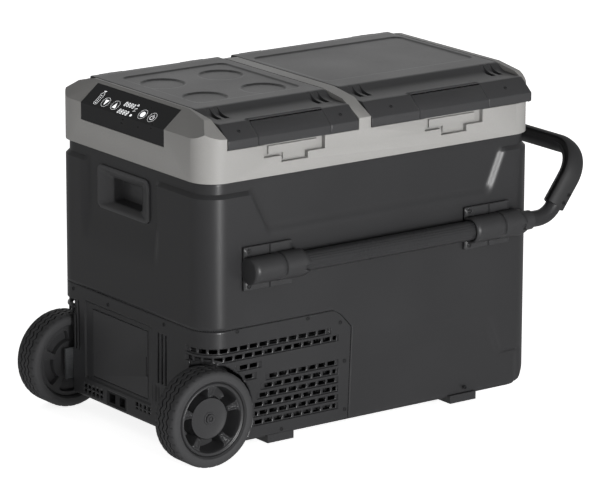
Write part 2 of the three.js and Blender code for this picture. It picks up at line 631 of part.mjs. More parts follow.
// Over-moulded grip: an oval section up both arms and across between them.
const GRIP_WIDE = 19;
const GRIP_THIN = 12.5;
{
  const start = armStart.clone().addScaledVector(armDirection, 1 + GAP);
  const corner = armStart.clone().addScaledVector(armDirection, ARM_LENGTH);
  const half = [start, corner.clone().addScaledVector(armDirection, -GRIP_BEND_R)];
  for (let i = 1; i <= 5; i += 1) {
    const turn = Math.PI / 2 * i / 5;
    const point = corner.clone().addScaledVector(armDirection, -GRIP_BEND_R + GRIP_BEND_R * Math.sin(turn));
    point.y += GRIP_BEND_R * (1 - Math.cos(turn));
    half.push(point);
  }
  const other = half.map((p) => new THREE.Vector3(p.x, -p.y, p.z)).reverse();
  const path = [...half, ...other];
  let grip = sweep(ellipseShape(GRIP_THIN, GRIP_WIDE, 14), new PointPath(path), path.length - 1);
  const socket = armPeg(SPIGOT_R + GAP, -10, SPIGOT_LENGTH + 1);
  grip = cut(grip, socket, mirrored(socket));
  addMesh('grip_cover', grip, 'rubber');
}

// ---------------------------------------------------------------- wheels
const RIM_R = 56;
const RIM_WALL = 7;
const SPOKES = 5;
const CAP_R = 31;
function tyre() {
  const [y0, y1] = [-WHEEL_Y[1], -WHEEL_Y[0]];
  return turnedY([
    [RIM_R, y0 + 4], [RIM_R + 8, y0], [WHEEL_R - 6, y0 + 1.5], [WHEEL_R, y0 + 9],
    [WHEEL_R, y1 - 9], [WHEEL_R - 6, y1 - 1.5], [RIM_R + 8, y1], [RIM_R, y1 - 4],
  ], ROUND);
}

function rim() {
  const [y0, y1] = [-WHEEL_Y[1], -WHEEL_Y[0]];
  const outer = RIM_R - GAP;
  const inner = outer - RIM_WALL;
  const hoop = toSolid(turnedY([[inner, y0 + 4], [outer, y0 + 4], [outer, y1 - 4], [inner, y1 - 4]], ROUND));
  const hub = cylinderY(0, 0, 22, y0 + 12, y1 - 2);
  let wheel = join(hoop, hub);
  for (let i = 0; i < SPOKES; i += 1) {
    const spoke = new THREE.BoxGeometry(36, 26, 11);
    spoke.translate(34, (y0 + y1) / 2 - 2, 0);
    spoke.rotateY(-Math.PI / 2 - i * 2 * Math.PI / SPOKES);
    wheel = join(wheel, toSolid(spoke));
  }
  const bore = cylinderY(0, 0, AXLE_R + GAP, -FAR, FAR, 24);
  return cut(wheel, bore, cylinderY(0, 0, CAP_R + 0.5, y0 - 5, y0 + 19.5));
}

const place = (solid) => solid.translate([WHEEL_X, 0, WHEEL_R]);
const cap = cut(
  cylinderY(0, 0, CAP_R, -WHEEL_Y[1] + 13, -WHEEL_Y[1] + 19),
  cylinderY(0, 0, CAP_R - 4, -WHEEL_Y[1] + 15, -WHEEL_Y[1] + 30),
);
for (const [side, turn] of [['front', (s) => s], ['rear', mirrored]]) {
  addMesh(`tyre_${side}`, place(turn(toSolid(tyre()))), 'rubber');
  addMesh(`rim_${side}`, place(turn(rim())), 'charcoal');
  addMesh(`hub_cap_${side}`, place(turn(cap)), 'charcoal');
  const plate = box(-19, 41, -WELL_Y - 3.3, -WELL_Y - GAP, -24, 24);
  const shaft = cylinderY(0, 0, AXLE_R, -WHEEL_Y[1] + 18, -WELL_Y - 1, 24);
  addMesh(`axle_${side}`, place(turn(join(plate, shaft))), 'steel');
}

// ---------------------------------------------------------------- machine bay contents
{
  const [y0, y1] = DOOR.y;
  const [z0, z1] = DOOR.z;
  const panel = box(DOOR.x, DOOR.x + 3, y0, y1, z0, z1);
  const pull = box(DOOR.x - 1, DOOR.x + 1.6, y0 - 1, y0 + 5, 100, 130);
  addMesh('battery_door', cut(panel, pull), 'charcoal');
  addMesh('battery_pack', box(-299, -204, -40, 98, 72, 163), 'black');
}

{
  const { y, z, mouths, thick } = SOCKET_PANEL;
  let block = box(-CASE_X + 0.5, -CASE_X + thick, y[0], y[1], z[0], z[1]);
  for (const [a, b] of mouths) {
    block = cut(block, box(-FAR, -CASE_X + thick - 4, a, b, z[0] + 3, z[1] - 3));
  }
  addMesh('socket_panel', block, 'black');
}

const COMPRESSOR = [-110, 95];
{
  const profile = [
    [0, 36], [44, 36], [50, 44], [52, 60], [52, 140], [46, 160], [28, 172], [0, 176],
  ].map(([radius, z]) => new THREE.Vector2(radius, z));
  const shell = new THREE.LatheGeometry(profile, 24);
  shell.rotateX(Math.PI / 2);
  shell.translate(...COMPRESSOR, 0);
  const [cx, cy] = COMPRESSOR;
  const feet = box(cx - 58, cx + 58, cy - 30, cy + 30, 34, 38);
  addMesh('compressor', join(toSolid(shell), feet), 'black');
}

const CONDENSER = { x: [-190, -66], y: [-184, -152], z: [45, 166] };
{
  const { x: [x0, x1], y: [y0, y1], z: [z0, z1] } = CONDENSER;
  let block = box(x0, x1, y0, y1, z0, z1);
  const PITCH = 15.5;
  for (let x = x0 + 6; x + 9 < x1; x += PITCH) {
    block = cut(block, box(x, x + 9, y0 - 1, y1 + 1, z0 + 5, z1 - 5));
  }
  addMesh('condenser', block, 'aluminium');
}

const FAN = { x: -128, z: 105, r: 54 };
{
  const plate = box(FAN.x - 60, FAN.x + 60, -148, -120, 46, 165);
  let shroud = cut(plate, cylinderY(FAN.x, FAN.z, FAN.r, -149, -124, 28));
  const gaps = cylinderY(FAN.x, FAN.z, FAN.r, -126, -119, 28);
  const arm = (angle) => {
    const geometry = new THREE.BoxGeometry(2 * FAN.r + 4, 5, 7);
    geometry.rotateY(angle);
    geometry.translate(FAN.x, -121.5, FAN.z);
    return toSolid(geometry);
  };
  const motor = cylinderY(FAN.x, FAN.z, 17, -124, -120);
  shroud = cut(shroud, cut(gaps, arm(Math.PI / 4), arm(-Math.PI / 4), motor));
  addMesh('fan_shroud', shroud, 'black');

  let rotor = cylinderY(FAN.x, FAN.z, 18, -145, -125);
  for (let i = 0; i < 7; i += 1) {
    const blade = new THREE.BoxGeometry(34, 3, 22);
    blade.rotateX(0.6);
    blade.translate(33, -135, 0);
    blade.rotateY(i * 2 * Math.PI / 7);
    blade.translate(FAN.x, 0, FAN.z);
    rotor = join(rotor, toSolid(blade));
  }
  addMesh('fan_rotor', rotor, 'black');
}

addMesh('power_board', box(-182, -70, -70, 20, 36, 40), 'board');

// Discharge pipe from the compressor's dome over the fan to the condenser.
{
  const HIGH = 190;
  const R = 12;
  const [cx, cy] = COMPRESSOR;
  const path = [new THREE.Vector3(cx, cy, 176.5)];
  for (let i = 0; i <= 4; i += 1) {
    const turn = Math.PI / 2 * i / 4;
    path.push(new THREE.Vector3(cx, cy - R * (1 - Math.cos(turn)), HIGH - R + R * Math.sin(turn)));
  }
  for (let i = 0; i <= 4; i += 1) {
    const turn = Math.PI / 2 * i / 4;
    path.push(new THREE.Vector3(cx, -168 + R * (1 - Math.sin(turn)), HIGH - R * (1 - Math.cos(turn))));
  }
  path.push(new THREE.Vector3(cx, -168, CONDENSER.z[1] + GAP));
  addMesh('discharge_pipe', sweep(ellipseShape(4, 4, 10), new PointPath(path), path.length - 1), 'copper');
}

export default fridge;
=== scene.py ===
import json
import math

import bmesh
import bpy
import numpy as np
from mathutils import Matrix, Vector

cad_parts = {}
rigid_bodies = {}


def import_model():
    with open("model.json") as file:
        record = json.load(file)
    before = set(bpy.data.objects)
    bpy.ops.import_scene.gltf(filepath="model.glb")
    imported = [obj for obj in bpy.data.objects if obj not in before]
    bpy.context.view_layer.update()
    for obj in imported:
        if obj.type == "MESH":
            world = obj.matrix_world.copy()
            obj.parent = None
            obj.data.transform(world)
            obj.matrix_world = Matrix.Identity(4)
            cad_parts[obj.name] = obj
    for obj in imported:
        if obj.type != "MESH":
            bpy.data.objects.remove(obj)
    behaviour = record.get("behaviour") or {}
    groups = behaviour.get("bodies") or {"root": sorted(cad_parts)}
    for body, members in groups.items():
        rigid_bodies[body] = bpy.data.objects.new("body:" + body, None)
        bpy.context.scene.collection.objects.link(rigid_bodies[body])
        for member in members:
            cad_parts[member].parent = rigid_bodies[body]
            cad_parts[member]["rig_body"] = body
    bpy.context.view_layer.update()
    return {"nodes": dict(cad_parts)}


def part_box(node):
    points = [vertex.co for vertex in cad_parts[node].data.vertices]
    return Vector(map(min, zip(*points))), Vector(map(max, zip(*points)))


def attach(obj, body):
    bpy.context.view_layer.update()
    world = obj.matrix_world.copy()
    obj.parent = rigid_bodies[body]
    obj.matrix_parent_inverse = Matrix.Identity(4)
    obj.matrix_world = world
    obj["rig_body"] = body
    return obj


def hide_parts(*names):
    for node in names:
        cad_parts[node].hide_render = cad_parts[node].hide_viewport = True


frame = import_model()

# ---------------------------------------------------------------- camera, lights and floor
# The fridge stands on a pale studio floor in an even white surround. A weak low sun lights
# its front, a tall strip lights its near corner and a wide bank lights it from behind.
CAMERA_AZIMUTH = math.radians(-35.97)
CAMERA_HEIGHT = math.radians(14.91)
CAMERA_TILT = math.radians(0.17)
CAMERA_DISTANCE = 6.483
CAMERA_AIM = (120.0, 155.4, 186.7)
LENS = 245.0
LAMP_AIM = Vector((0.0, 0.0, 0.25))
SURROUND_LIGHT = 0.3
SURROUND_SHOWN = 1.0

cabinet_low, cabinet_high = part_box("outer_case")
MIDDLE_X = (cabinet_low.x + cabinet_high.x) / 2


def metres(x, y, z):
    """Millimetres from the cabinet's middle and the floor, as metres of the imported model."""
    x, y, z = np.broadcast_arrays(np.asarray(x, float), y, z)
    return np.stack([x / 1000 + MIDDLE_X, y / 1000, z / 1000], axis=-1)


def aimed(thing, target, tilt=0.0):
    """Turns a camera or a light towards a point: its own -Z runs along the line of sight."""
    sight = (target - thing.location).normalized()
    thing.rotation_euler = sight.to_track_quat("-Z", "Y").to_euler()
    thing.rotation_euler.rotate_axis("Z", tilt)


def studio_camera():
    """A long lens on a sphere round the middle of the fridge, at the set azimuth and height."""
    aim = Vector(metres(*CAMERA_AIM).tolist())
    back = Vector((math.sin(CAMERA_AZIMUTH) * math.cos(CAMERA_HEIGHT),
                   -math.cos(CAMERA_AZIMUTH) * math.cos(CAMERA_HEIGHT),
                   math.sin(CAMERA_HEIGHT)))
    body = bpy.data.cameras.new("studio_camera")
    body.lens = LENS
    body.sensor_width = 36.0
    body.clip_end = 100.0
    camera = bpy.data.objects.new("studio_camera", body)
    bpy.context.scene.collection.objects.link(camera)
    camera.location = aim + back * CAMERA_DISTANCE
    aimed(camera, aim, CAMERA_TILT)
    bpy.context.scene.camera = camera


studio_camera()


def lamp(name, kind, place, power, **settings):
    """A lamp at a place in metres, aimed at the middle of the fridge."""
    body = bpy.data.lights.new(name, kind)
    body.energy = power
    for setting, value in settings.items():
        setattr(body, setting, value)
    light = bpy.data.objects.new(name, body)
    bpy.context.scene.collection.objects.link(light)
    light.location = place
    aimed(light, LAMP_AIM)


lamp("front_bank", "SUN", (0.4, -3.0, 1.3), 0.18, angle=math.radians(50))
lamp("corner_strip", "AREA", (-0.5, -4.4, 0.35), 255.0,
     shape="RECTANGLE", size=0.6, size_y=1.7)
lamp("rear_bank", "AREA", (3.0, 4.1, 1.7), 33.0, size=4.0)

# The surround lights the fridge at a part of the brightness that it shows behind it.
surround = bpy.data.worlds.new("surround")
bpy.context.scene.world = surround
surround.use_nodes = True
backdrop = surround.node_tree
backdrop.nodes["Background"].inputs["Strength"].default_value = SURROUND_LIGHT
seen = backdrop.nodes.new("ShaderNodeBackground")
seen.inputs["Strength"].default_value = SURROUND_SHOWN
for background in (seen, backdrop.nodes["Background"]):
    background.inputs["Color"].default_value = (1, 1, 1, 1)
ray = backdrop.nodes.new("ShaderNodeLightPath")
either = backdrop.nodes.new("ShaderNodeMixShader")
backdrop.links.new(ray.outputs["Is Camera Ray"], either.inputs[0])
backdrop.links.new(backdrop.nodes["Background"].outputs[0], either.inputs[1])
backdrop.links.new(seen.outputs[0], either.inputs[2])
backdrop.links.new(either.outputs[0], backdrop.nodes["World Output"].inputs["Surface"])
bpy.context.scene.view_settings.view_transform = "Standard"


class Signal:
    """A shader socket in plain arithmetic: each operator adds one Math node."""

    def __init__(self, tree, socket):
        self.tree = tree
        self.socket = socket

    def worked(self, operation, *terms):
        """The result of one Math node fed with sockets or numbers."""
        node = self.tree.nodes.new("ShaderNodeMath")
        node.operation = operation
        for socket, term in zip(node.inputs, terms):
            if isinstance(term, Signal):
                self.tree.links.new(term.socket, socket)
            else:
                socket.default_value = term
        return Signal(self.tree, node.outputs[0])

    def __add__(self, other):
        return self.worked("ADD", self, other)

    def __mul__(self, other):
        return self.worked("MULTIPLY", self, other)

    def __sub__(self, other):
        return self.worked("SUBTRACT", self, other)

    def __rsub__(self, other):
        return self.worked("SUBTRACT", other, self)

    __radd__ = __add__
    __rmul__ = __mul__

    def held(self, low=0.0, high=1.0):
        """Kept between two numbers."""
        return self.worked("MINIMUM", self.worked("MAXIMUM", self, low), high)


class Finish:
    """A material being mixed, on one Principled shader."""

    def __init__(self, name):
        self.material = bpy.data.materials.new(name)
        self.material.use_nodes = True
        self.tree = self.material.node_tree
        self.shader = self.tree.nodes["Principled BSDF"]

    def node(self, kind, settings, sockets, output=0):
        """Any node: its type, its settings first, then its sockets' values or links."""
        node = self.tree.nodes.new(kind)
        for name, value in settings.items():
            setattr(node, name, value)
        for name, value in sockets.items():
            if isinstance(value, Signal):
                self.tree.links.new(value.socket, node.inputs[name])
            else:
                node.inputs[name].default_value = value
        return Signal(self.tree, node.outputs[output])

    def place(self):
        """Where a point lies on the piece, in metres."""
        return self.node("ShaderNodeTexCoord", {}, {}, "Object")

    def stretched(self, place, x, y, z):
        """The place with each direction scaled, so that a pattern on it is drawn out."""
        return self.node("ShaderNodeMapping", {}, {"Vector": place, "Scale": (x, y, z)})

    def noise(self, place, size, detail=2.0):
        """Cloudy noise between 0 and 1 whose blobs are about `size` millimetres."""
        sockets = {"Vector": place, "Scale": 1000.0 / size, "Detail": detail}
        return self.node("ShaderNodeTexNoise", {}, sockets)

    def edge(self):
        """About 0 on flat places and 1 on outer edges."""
        point = self.node("ShaderNodeNewGeometry", {}, {}, "Pointiness")
        return ((point - 0.505) * 12.0).held()

    def shade(self, amount, dark, light):
        """A colour between two, by a signal from 0 to 1."""
        sockets = {0: amount, 6: (*dark, 1.0), 7: (*light, 1.0)}
        return self.node("ShaderNodeMix", {"data_type": "RGBA"}, sockets, 2)

    def feed(self, socket, value):
        """Sets one of the shader's sockets, or links a signal to it."""
        if isinstance(value, Signal):
            self.tree.links.new(value.socket, self.shader.inputs[socket])
        else:
            self.shader.inputs[socket].default_value = value

    def relief(self, height, depth):
        """Bump of a height signal, `depth` millimetres from its 0 to its 1."""
        sockets = {"Height": height, "Strength": 1.0, "Distance": depth / 1000.0}
        self.feed("Normal", self.node("ShaderNodeBump", {}, sockets))


def tone(red, green, blue, gain=1.0):
    """Screen colour numbers, 0 to 255, as linear light."""
    screen = np.array([red, green, blue]) / 255.0
    linear = np.where(screen <= 0.04045, screen / 12.92, ((screen + 0.055) / 1.055) ** 2.4)
    return tuple(float(part) for part in np.clip(linear * gain, 0.0, 1.0))


FLOOR_REACH = (2000.0, 12000.0)
FLOOR_STEPS = 96
FLOOR_Z = -0.4
FLOOR_GLOW = 0.85


def full_turn(count):
    """Angles of a full turn in even steps."""
    return np.linspace(0, 2 * np.pi, count + 1)[:-1]


def studio_floor():
    """A flat disc of pale matt board under the fridge: a fan of triangles out to the first reach
    and a band of four-sided faces out to the second."""
    finish = Finish("floor_board")
    cloud = finish.noise(finish.place(), 160.0, 3.0)
    finish.feed("Base Color", finish.shade(cloud, (0.93, 0.93, 0.93), (0.96, 0.96, 0.96)))
    finish.feed("Roughness", 0.75 + 0.15 * cloud)
    finish.feed("Emission Color", finish.shade(cloud, (0.97, 0.97, 0.97), (1.0, 1.0, 1.0)))
    finish.feed("Emission Strength", FLOOR_GLOW)
    finish.relief(finish.noise(finish.place(), 1.2), 0.02)
    turn = full_turn(FLOOR_STEPS)
    reach = np.array(FLOOR_REACH)[:, None]
    rim = metres(reach * np.cos(turn), reach * np.sin(turn), FLOOR_Z)
    points = np.concatenate([metres(0.0, 0.0, FLOOR_Z)[None], rim.reshape(-1, 3)])
    near = 1 + np.arange(FLOOR_STEPS)
    after = np.roll(near, -1)
    fan = np.stack([0 * near, near, after], axis=1)
    band = np.stack([near, near + FLOOR_STEPS, after + FLOOR_STEPS, after], axis=1)
    mesh = bpy.data.meshes.new("studio_floor")
    mesh.from_pydata(points.tolist(), [], fan.tolist() + band.tolist())
    mesh.materials.append(finish.material)
    floor = bpy.data.objects.new("studio_floor", mesh)
    bpy.context.scene.collection.objects.link(floor)
    floor.visible_glossy = False


studio_floor()

# ---------------------------------------------------------------- cabinet case
# One large injection moulding of charcoal ABS: four proud corner posts, a recessed
# panel between them on each face, and a neck on which the grey upper frame sits.
HALF_X = 308.0
HALF_Y = 200.0
CORNER = 40.0
CASE_BOTTOM = 28.0
CASE_TOP = 423.0
POST_TOP = 404.0
PROUD = 6.0
SHELL = 3.0
BAY_TOP = 201.0
SEAM = 0.5
SEAM_U = -77.0
GRIP_Y = (-44.4, 86.4)
GRIP_Z = (337.6, 398.4)
LEAN_ZONE = (-96.0, 40.0)
# the right end's bottom edge rises by the heel, over this much of the length and the height
HEEL = 27.0
HEEL_X = (276.0, 306.0)
HEEL_Z = (28.0, 70.0)
# the wall turns in under its bottom edge by this much, and by more at the right end
LEDGE = 12.0
LEDGE_RIGHT = 18.0

side_run = HALF_Y - CORNER
long_run = 2 * (HALF_X - CORNER)
arc_run = math.pi / 2 * CORNER
ring_stops = np.cumsum([0, side_run, arc_run, long_run, arc_run, 2 * side_run,
                        arc_run, long_run, arc_run, side_run])
REAR_START = ring_stops[2]
LEFT_START = ring_stops[4]
FRONT_START = ring_stops[6]


def ring(distance):
    """Core point and outward angle of the cabinet's outline, by distance along it from the
    middle of its +X side, counter-clockwise: an inner rectangle plus a radius that turns at its
    corners."""
    cx = HALF_X - CORNER
    cy = HALF_Y - CORNER
    core_x = np.interp(distance, ring_stops, [cx, cx, cx, -cx, -cx, -cx, -cx, cx, cx, cx])
    core_y = np.interp(distance, ring_stops, [0, cy, cy, cy, cy, -cy, -cy, -cy, -cy, 0])
    turns = [0, 0, 1, 1, 2, 2, 3, 3, 4, 4]
    return core_x, core_y, np.interp(distance, ring_stops, turns) * math.pi / 2


def step(value, low, high):
    """Smooth step: 0 up to low, 1 from high, with a rounded slope between."""
    share = np.clip((value - low) / (high - low), 0, 1)
    return share * share * (3 - 2 * share)


def spaced(stops, pitch):
    """Every stop, with even steps of at most about the pitch between neighbours."""
    stops = sorted(set(stops))
    runs = [np.linspace(a, b, max(1, round((b - a) / pitch)) + 1)[:-1]
            for a, b in zip(stops, stops[1:])]
    return np.concatenate(runs + [stops[-1:]])


SCOOP = 5.4
SCOOP_TOP = 151.0
NECK_Z = (400.5, 405.5)


def case_depth(x, y, z, angle):
    """How far the case lies inside its posts, in millimetres: a panel between slanted edges on
    the long faces, one that fades out downwards on the ends, a low scoop that ends at a slanted
    block, and the neck."""
    long_side = step(np.abs(np.sin(angle)), 0.9, 0.999)
    end_side = step(np.abs(np.cos(angle)), 0.9, 0.999)
    neck = step(z, *NECK_Z)
    left_edge = x - (-229 + (POST_TOP - z) * 0.5)
    right_edge = (218.8 + (z - 336) * 0.429) - x
    panel = step(left_edge, 0, 7) * np.clip((right_edge + 2) / 11.5, 0, 1) * step(z, 334, 351)
    facing = np.where(x < 0, y, -y)
    end_panel = step(facing, -75, -68) * step(-facing, -131, -112) * step(z, 268, 338)
    slope = 210.6 + (SCOOP_TOP - z) * 0.421
    block = np.clip((x - slope + 1) / 10, 0, 1) * step(z, 79.5, 83.5)
    scoop = SCOOP * np.clip((SCOOP_TOP - z) / 34, 0, 1) * (1 - block) * step(x, -60, 60)
    inward = np.maximum(neck, np.maximum(panel * long_side, end_panel * end_side)) * PROUD
    return np.maximum(inward, scoop * long_side)


def seam_x(z):
    """Where the machine cover's upright edge runs on the long faces: straight stretches joined
    at bends."""
    return np.interp(z, [28, 171, 192.5, BAY_TOP], [-48, -42, -62, SEAM_U])


def wall_points(distance, z, depth):
    """Wall surface over a grid of outline distance and height: the outline's point moved in by
    the depth; near the cover's edge the columns lean so that one of them follows the edge, and
    the right end's bottom edge is raised by the heel."""
    distance, z = np.meshgrid(distance, z)
    front_x = distance - FRONT_START - (HALF_X - CORNER)
    rear_x = (HALF_X - CORNER) - (distance - REAR_START)
    lean = seam_x(z) - SEAM_U

    def share(along):
        """How much of the lean a column takes: all of it at the seam, none at the zone's ends."""
        return np.interp(along, [LEAN_ZONE[0], SEAM_U, LEAN_ZONE[1]], [0, 1, 0])

    on_front = (distance > FRONT_START) & (distance < ring_stops[7])
    on_rear = (distance > REAR_START) & (distance < ring_stops[3])
    moved = distance + np.where(on_front, lean * share(front_x), 0)
    moved = moved - np.where(on_rear, lean * share(rear_x), 0)
    core_x, core_y, angle = ring(moved)
    x = core_x + CORNER * np.cos(angle)
    y = core_y + CORNER * np.sin(angle)
    low = np.clip((HEEL_Z[1] - z) / (HEEL_Z[1] - HEEL_Z[0]), 0, 1)
    heel = HEEL * step(x, *HEEL_X) * low
    reach = CORNER - depth(x, y, z, angle)
    return core_x + reach * np.cos(angle), core_y + reach * np.sin(angle), z + heel


def quads(rows, columns, keep=None, around=False):
    """Four corner numbers of every cell of a grid, less those the mask leaves out."""
    last = columns if around else columns - 1
    row, column = np.meshgrid(np.arange(rows - 1), np.arange(last), indexing="ij")
    after = (column + 1) % columns
    corners = np.stack([row * columns + column, row * columns + after,
                        (row + 1) * columns + after, (row + 1) * columns + column], axis=-1)
    return corners.reshape(-1, 4) if keep is None else corners[keep]


def mids(values):
    """The middle of every pair of neighbours."""
    return (values[1:] + values[:-1]) / 2


def fitted(name, mesh, material, sharp, body, nodes):
    """A mesh made a piece: its finish, its sharp edges, its body and the solids it replaces."""
    mesh.materials.clear()
    mesh.materials.append(material)
    mesh.shade_smooth()
    mesh.set_sharp_from_angle(angle=math.radians(sharp))
    thing = bpy.data.objects.new(name, mesh)
    bpy.context.scene.collection.objects.link(thing)
    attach(thing, body)
    if nodes:
        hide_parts(*nodes)
    return thing


MERGE = 2e-6
SLIVER = 1e-7


def made(name, points, faces, material, body, nodes=(), slot=None, sharp=32.0, closed=False):
    """A piece from points in metres and face corners, with unused points dropped; a closed one
    has its doubles merged and its faces turned outwards."""
    used, numbers = np.unique(faces, return_inverse=True)
    points = np.asarray(points).reshape(-1, 3)[used]
    mesh = bpy.data.meshes.new(name)
    mesh.from_pydata(points.tolist(), [], numbers.reshape(faces.shape).tolist())
    mesh.validate()
    if closed:
        shape = bmesh.new()
        shape.from_mesh(mesh)
        bmesh.ops.remove_doubles(shape, verts=shape.verts, dist=MERGE)
        bmesh.ops.dissolve_degenerate(shape, edges=shape.edges, dist=SLIVER)
        bmesh.ops.recalc_face_normals(shape, faces=shape.faces)
        shape.to_mesh(mesh)
        shape.free()
    return fitted(name, mesh, material, sharp, body, nodes)


def walled(thing, thickness):
    """Gives an open skin its wall, inwards, in millimetres."""
    wall = thing.modifiers.new("wall", "SOLIDIFY")
    wall.thickness = thickness / 1000.0
    wall.offset = -1.0
    return thing


PLASTIC_GLOSS = 0.32


def moulded(name, colour, roughness, light=1.35, grain=0.9):
    """Spark-eroded plastic: fine grain, cloudy flow marks, rubbed edges and faint scuffs."""
    finish = Finish(name)
    place = finish.place()
    cloud = finish.noise(place, 110.0, 4.0)
    speck = finish.noise(place, 2.2, 2.0)
    fine = finish.noise(place, grain, 2.0)
    scuff = finish.noise(finish.stretched(place, 1.0, 0.12, 1.6), 3.0, 6.0)
    scuffed = ((scuff - 0.62) * 7.0).held()
    worn = finish.edge() * (0.35 + 0.65 * speck)
    tint = (0.22 + 0.36 * cloud + 0.16 * speck + 0.55 * worn + 0.12 * scuffed).held()
    dark = tone(*colour, gain=0.86)
    finish.feed("Base Color", finish.shade(tint, dark, tone(*colour, gain=light)))
    rough = roughness + 0.12 * (cloud - 0.5) + 0.1 * (fine - 0.5) - 0.1 * worn
    finish.feed("Roughness", (rough + 0.06 * scuffed).held(0.05, 1.0))
    finish.relief(fine * 0.7 + speck * 0.3 + scuffed * -0.15, 0.07)
    finish.feed("Specular IOR Level", PLASTIC_GLOSS)
    return finish.material


case_finish = moulded("case_moulding", (37, 37, 38), 0.35)

front_u = HALF_X - CORNER
front_stops = [-front_u, -232, -224, -205, -194, SEAM_U, SEAM_U + SEAM, -40, 40, 100, 160,
               205, 248, front_u]
end_stops = [-160, -132, -111, GRIP_Y[0], -67, -76, GRIP_Y[1], -GRIP_Y[0], -GRIP_Y[1],
             111, 132, 160]
front_cells = spaced(front_stops, 4.0) + FRONT_START + front_u
rear_cells = REAR_START + front_u - spaced(front_stops, 4.0)
left_cells = LEFT_START + side_run - spaced(end_stops, 4.5)
right_cells = spaced([y for y in end_stops if y >= 0], 4.5)
right_low = ring_stops[9] - spaced([-y for y in end_stops if y <= 0], 4.5)
arcs = [spaced([start, start + arc_run], 4.0)
        for start in (ring_stops[1], ring_stops[3], ring_stops[5], ring_stops[7])]
case_columns = np.unique(np.round(np.concatenate(
    [front_cells, rear_cells, left_cells, right_cells, right_low, *arcs, [0.0]]), 4))
case_columns = case_columns[case_columns < ring_stops[9] - 0.01]
case_rows = spaced([CASE_BOTTOM, 45, 78, 84, 110, 151, BAY_TOP, BAY_TOP + SEAM, 268, 333, 352,
                    GRIP_Z[0], GRIP_Z[1], 400, 406, CASE_TOP], 4.2)

x, y, z = wall_points(case_columns, case_rows, case_depth)
turn = ring(case_columns)[2]
inward = LEDGE + LEDGE_RIGHT * step(x[0], *HEEL_X)
x = np.vstack([x[0] - inward * np.cos(turn), x])
y = np.vstack([y[0] - inward * np.sin(turn), y])
z = np.vstack([np.full(len(turn), CASE_BOTTOM), z])
# the ledge's row counts as lying just below the wall's bottom edge
case_rows = np.append(CASE_BOTTOM - 1.0, case_rows)
column_mid = mids(np.append(case_columns, ring_stops[9]))
row_mid = mids(case_rows)[:, None]
mid_x, mid_y, mid_turn = ring(column_mid)
mid_x = mid_x + CORNER * np.cos(mid_turn)
mid_y = mid_y + CORNER * np.sin(mid_turn)
over_bay = (row_mid < BAY_TOP + SEAM) & (mid_x < SEAM_U + SEAM)[None]
facing = np.where(mid_x < 0, mid_y, -mid_y)[None]
in_grip = (np.abs(mid_x) > HALF_X - 1)[None] & (facing > GRIP_Y[0]) & (facing < GRIP_Y[1])
in_grip = in_grip & (row_mid > GRIP_Z[0]) & (row_mid < GRIP_Z[1])
case_faces = quads(len(case_rows), len(case_columns), ~(over_bay | in_grip), around=True)
walled(made("case_wall", metres(x, y, z), case_faces, case_finish, "cabinet",
            ["outer_case"], "case_plastic"), SHELL)

# ---------------------------------------------------------------- machine bay cover
# A clip-on charcoal cover round the compressor bay: rows of moulded louvres, upright
# slots, the battery door's frame and the arches of the two wheels.
WHEEL_X = -303.0
WHEEL_Z = 73.5
ARCH = 79.5
LOUVRE_PITCH = 17.8
LOUVRE_GAP = 2.0
CELL_HALF = 3.3
TROUGH_HALF = 5.2
TROUGH = 2.2
# height, left and right end along the face, and 1 for a row shifted by half a pitch; the two
# rows above the arch run round the corner
LOUVRES = [
    (170, -339, -83, 0), (157, -339, -69, 1), (140, -250, -211, 0), (124, -236, -219, 1),
    (118.5, -196, -69, 0), (105, -205, -69, 1), (91.5, -213, -69, 0),
    (78, -219, -69, 1), (64.5, -219, -69, 0), (51, -219, -69, 1),
]
DOOR_Y = (-45.6, 104.6)
DOOR_Z = (64.4, 170.6)
SOCKET_Y = (10.6, 63.4)
SOCKET_Z = (31.6, 52.4)
UPRIGHT_SLOTS = [-98.0, -88.0, -78.0, 139.0, 147.0, 155.0]
UPRIGHT_WIDTH = 3.6
UPRIGHT_Z = (98.0, 176.0)
VENT_SLOTS = [(76 + 11 * number, height) for height in (36.0, 44.0) for number in range(5)]
VENT_SLOTS += [(-22 - 11 * number, height) for height in (42.0, 50.0) for number in range(4)]
VENT_SIZE = (7.0, 3.6)
# the flat field round the battery door, and the ribs beside it
FIELD_DEPTH = 2.2
RIB_DEPTH = 1.4
RIB_PITCH = 8.0
RIB_START = -70.5
ARCH_SNAP = 1.7
LEAN_COLUMNS = 60


def face_run(distance):
    """Distance along either long face and round its corner, as an x that keeps counting."""
    from_front = FRONT_START + front_u - distance
    from_rear = distance - REAR_START - front_u
    return -np.minimum(np.abs(from_front), np.abs(from_rear))


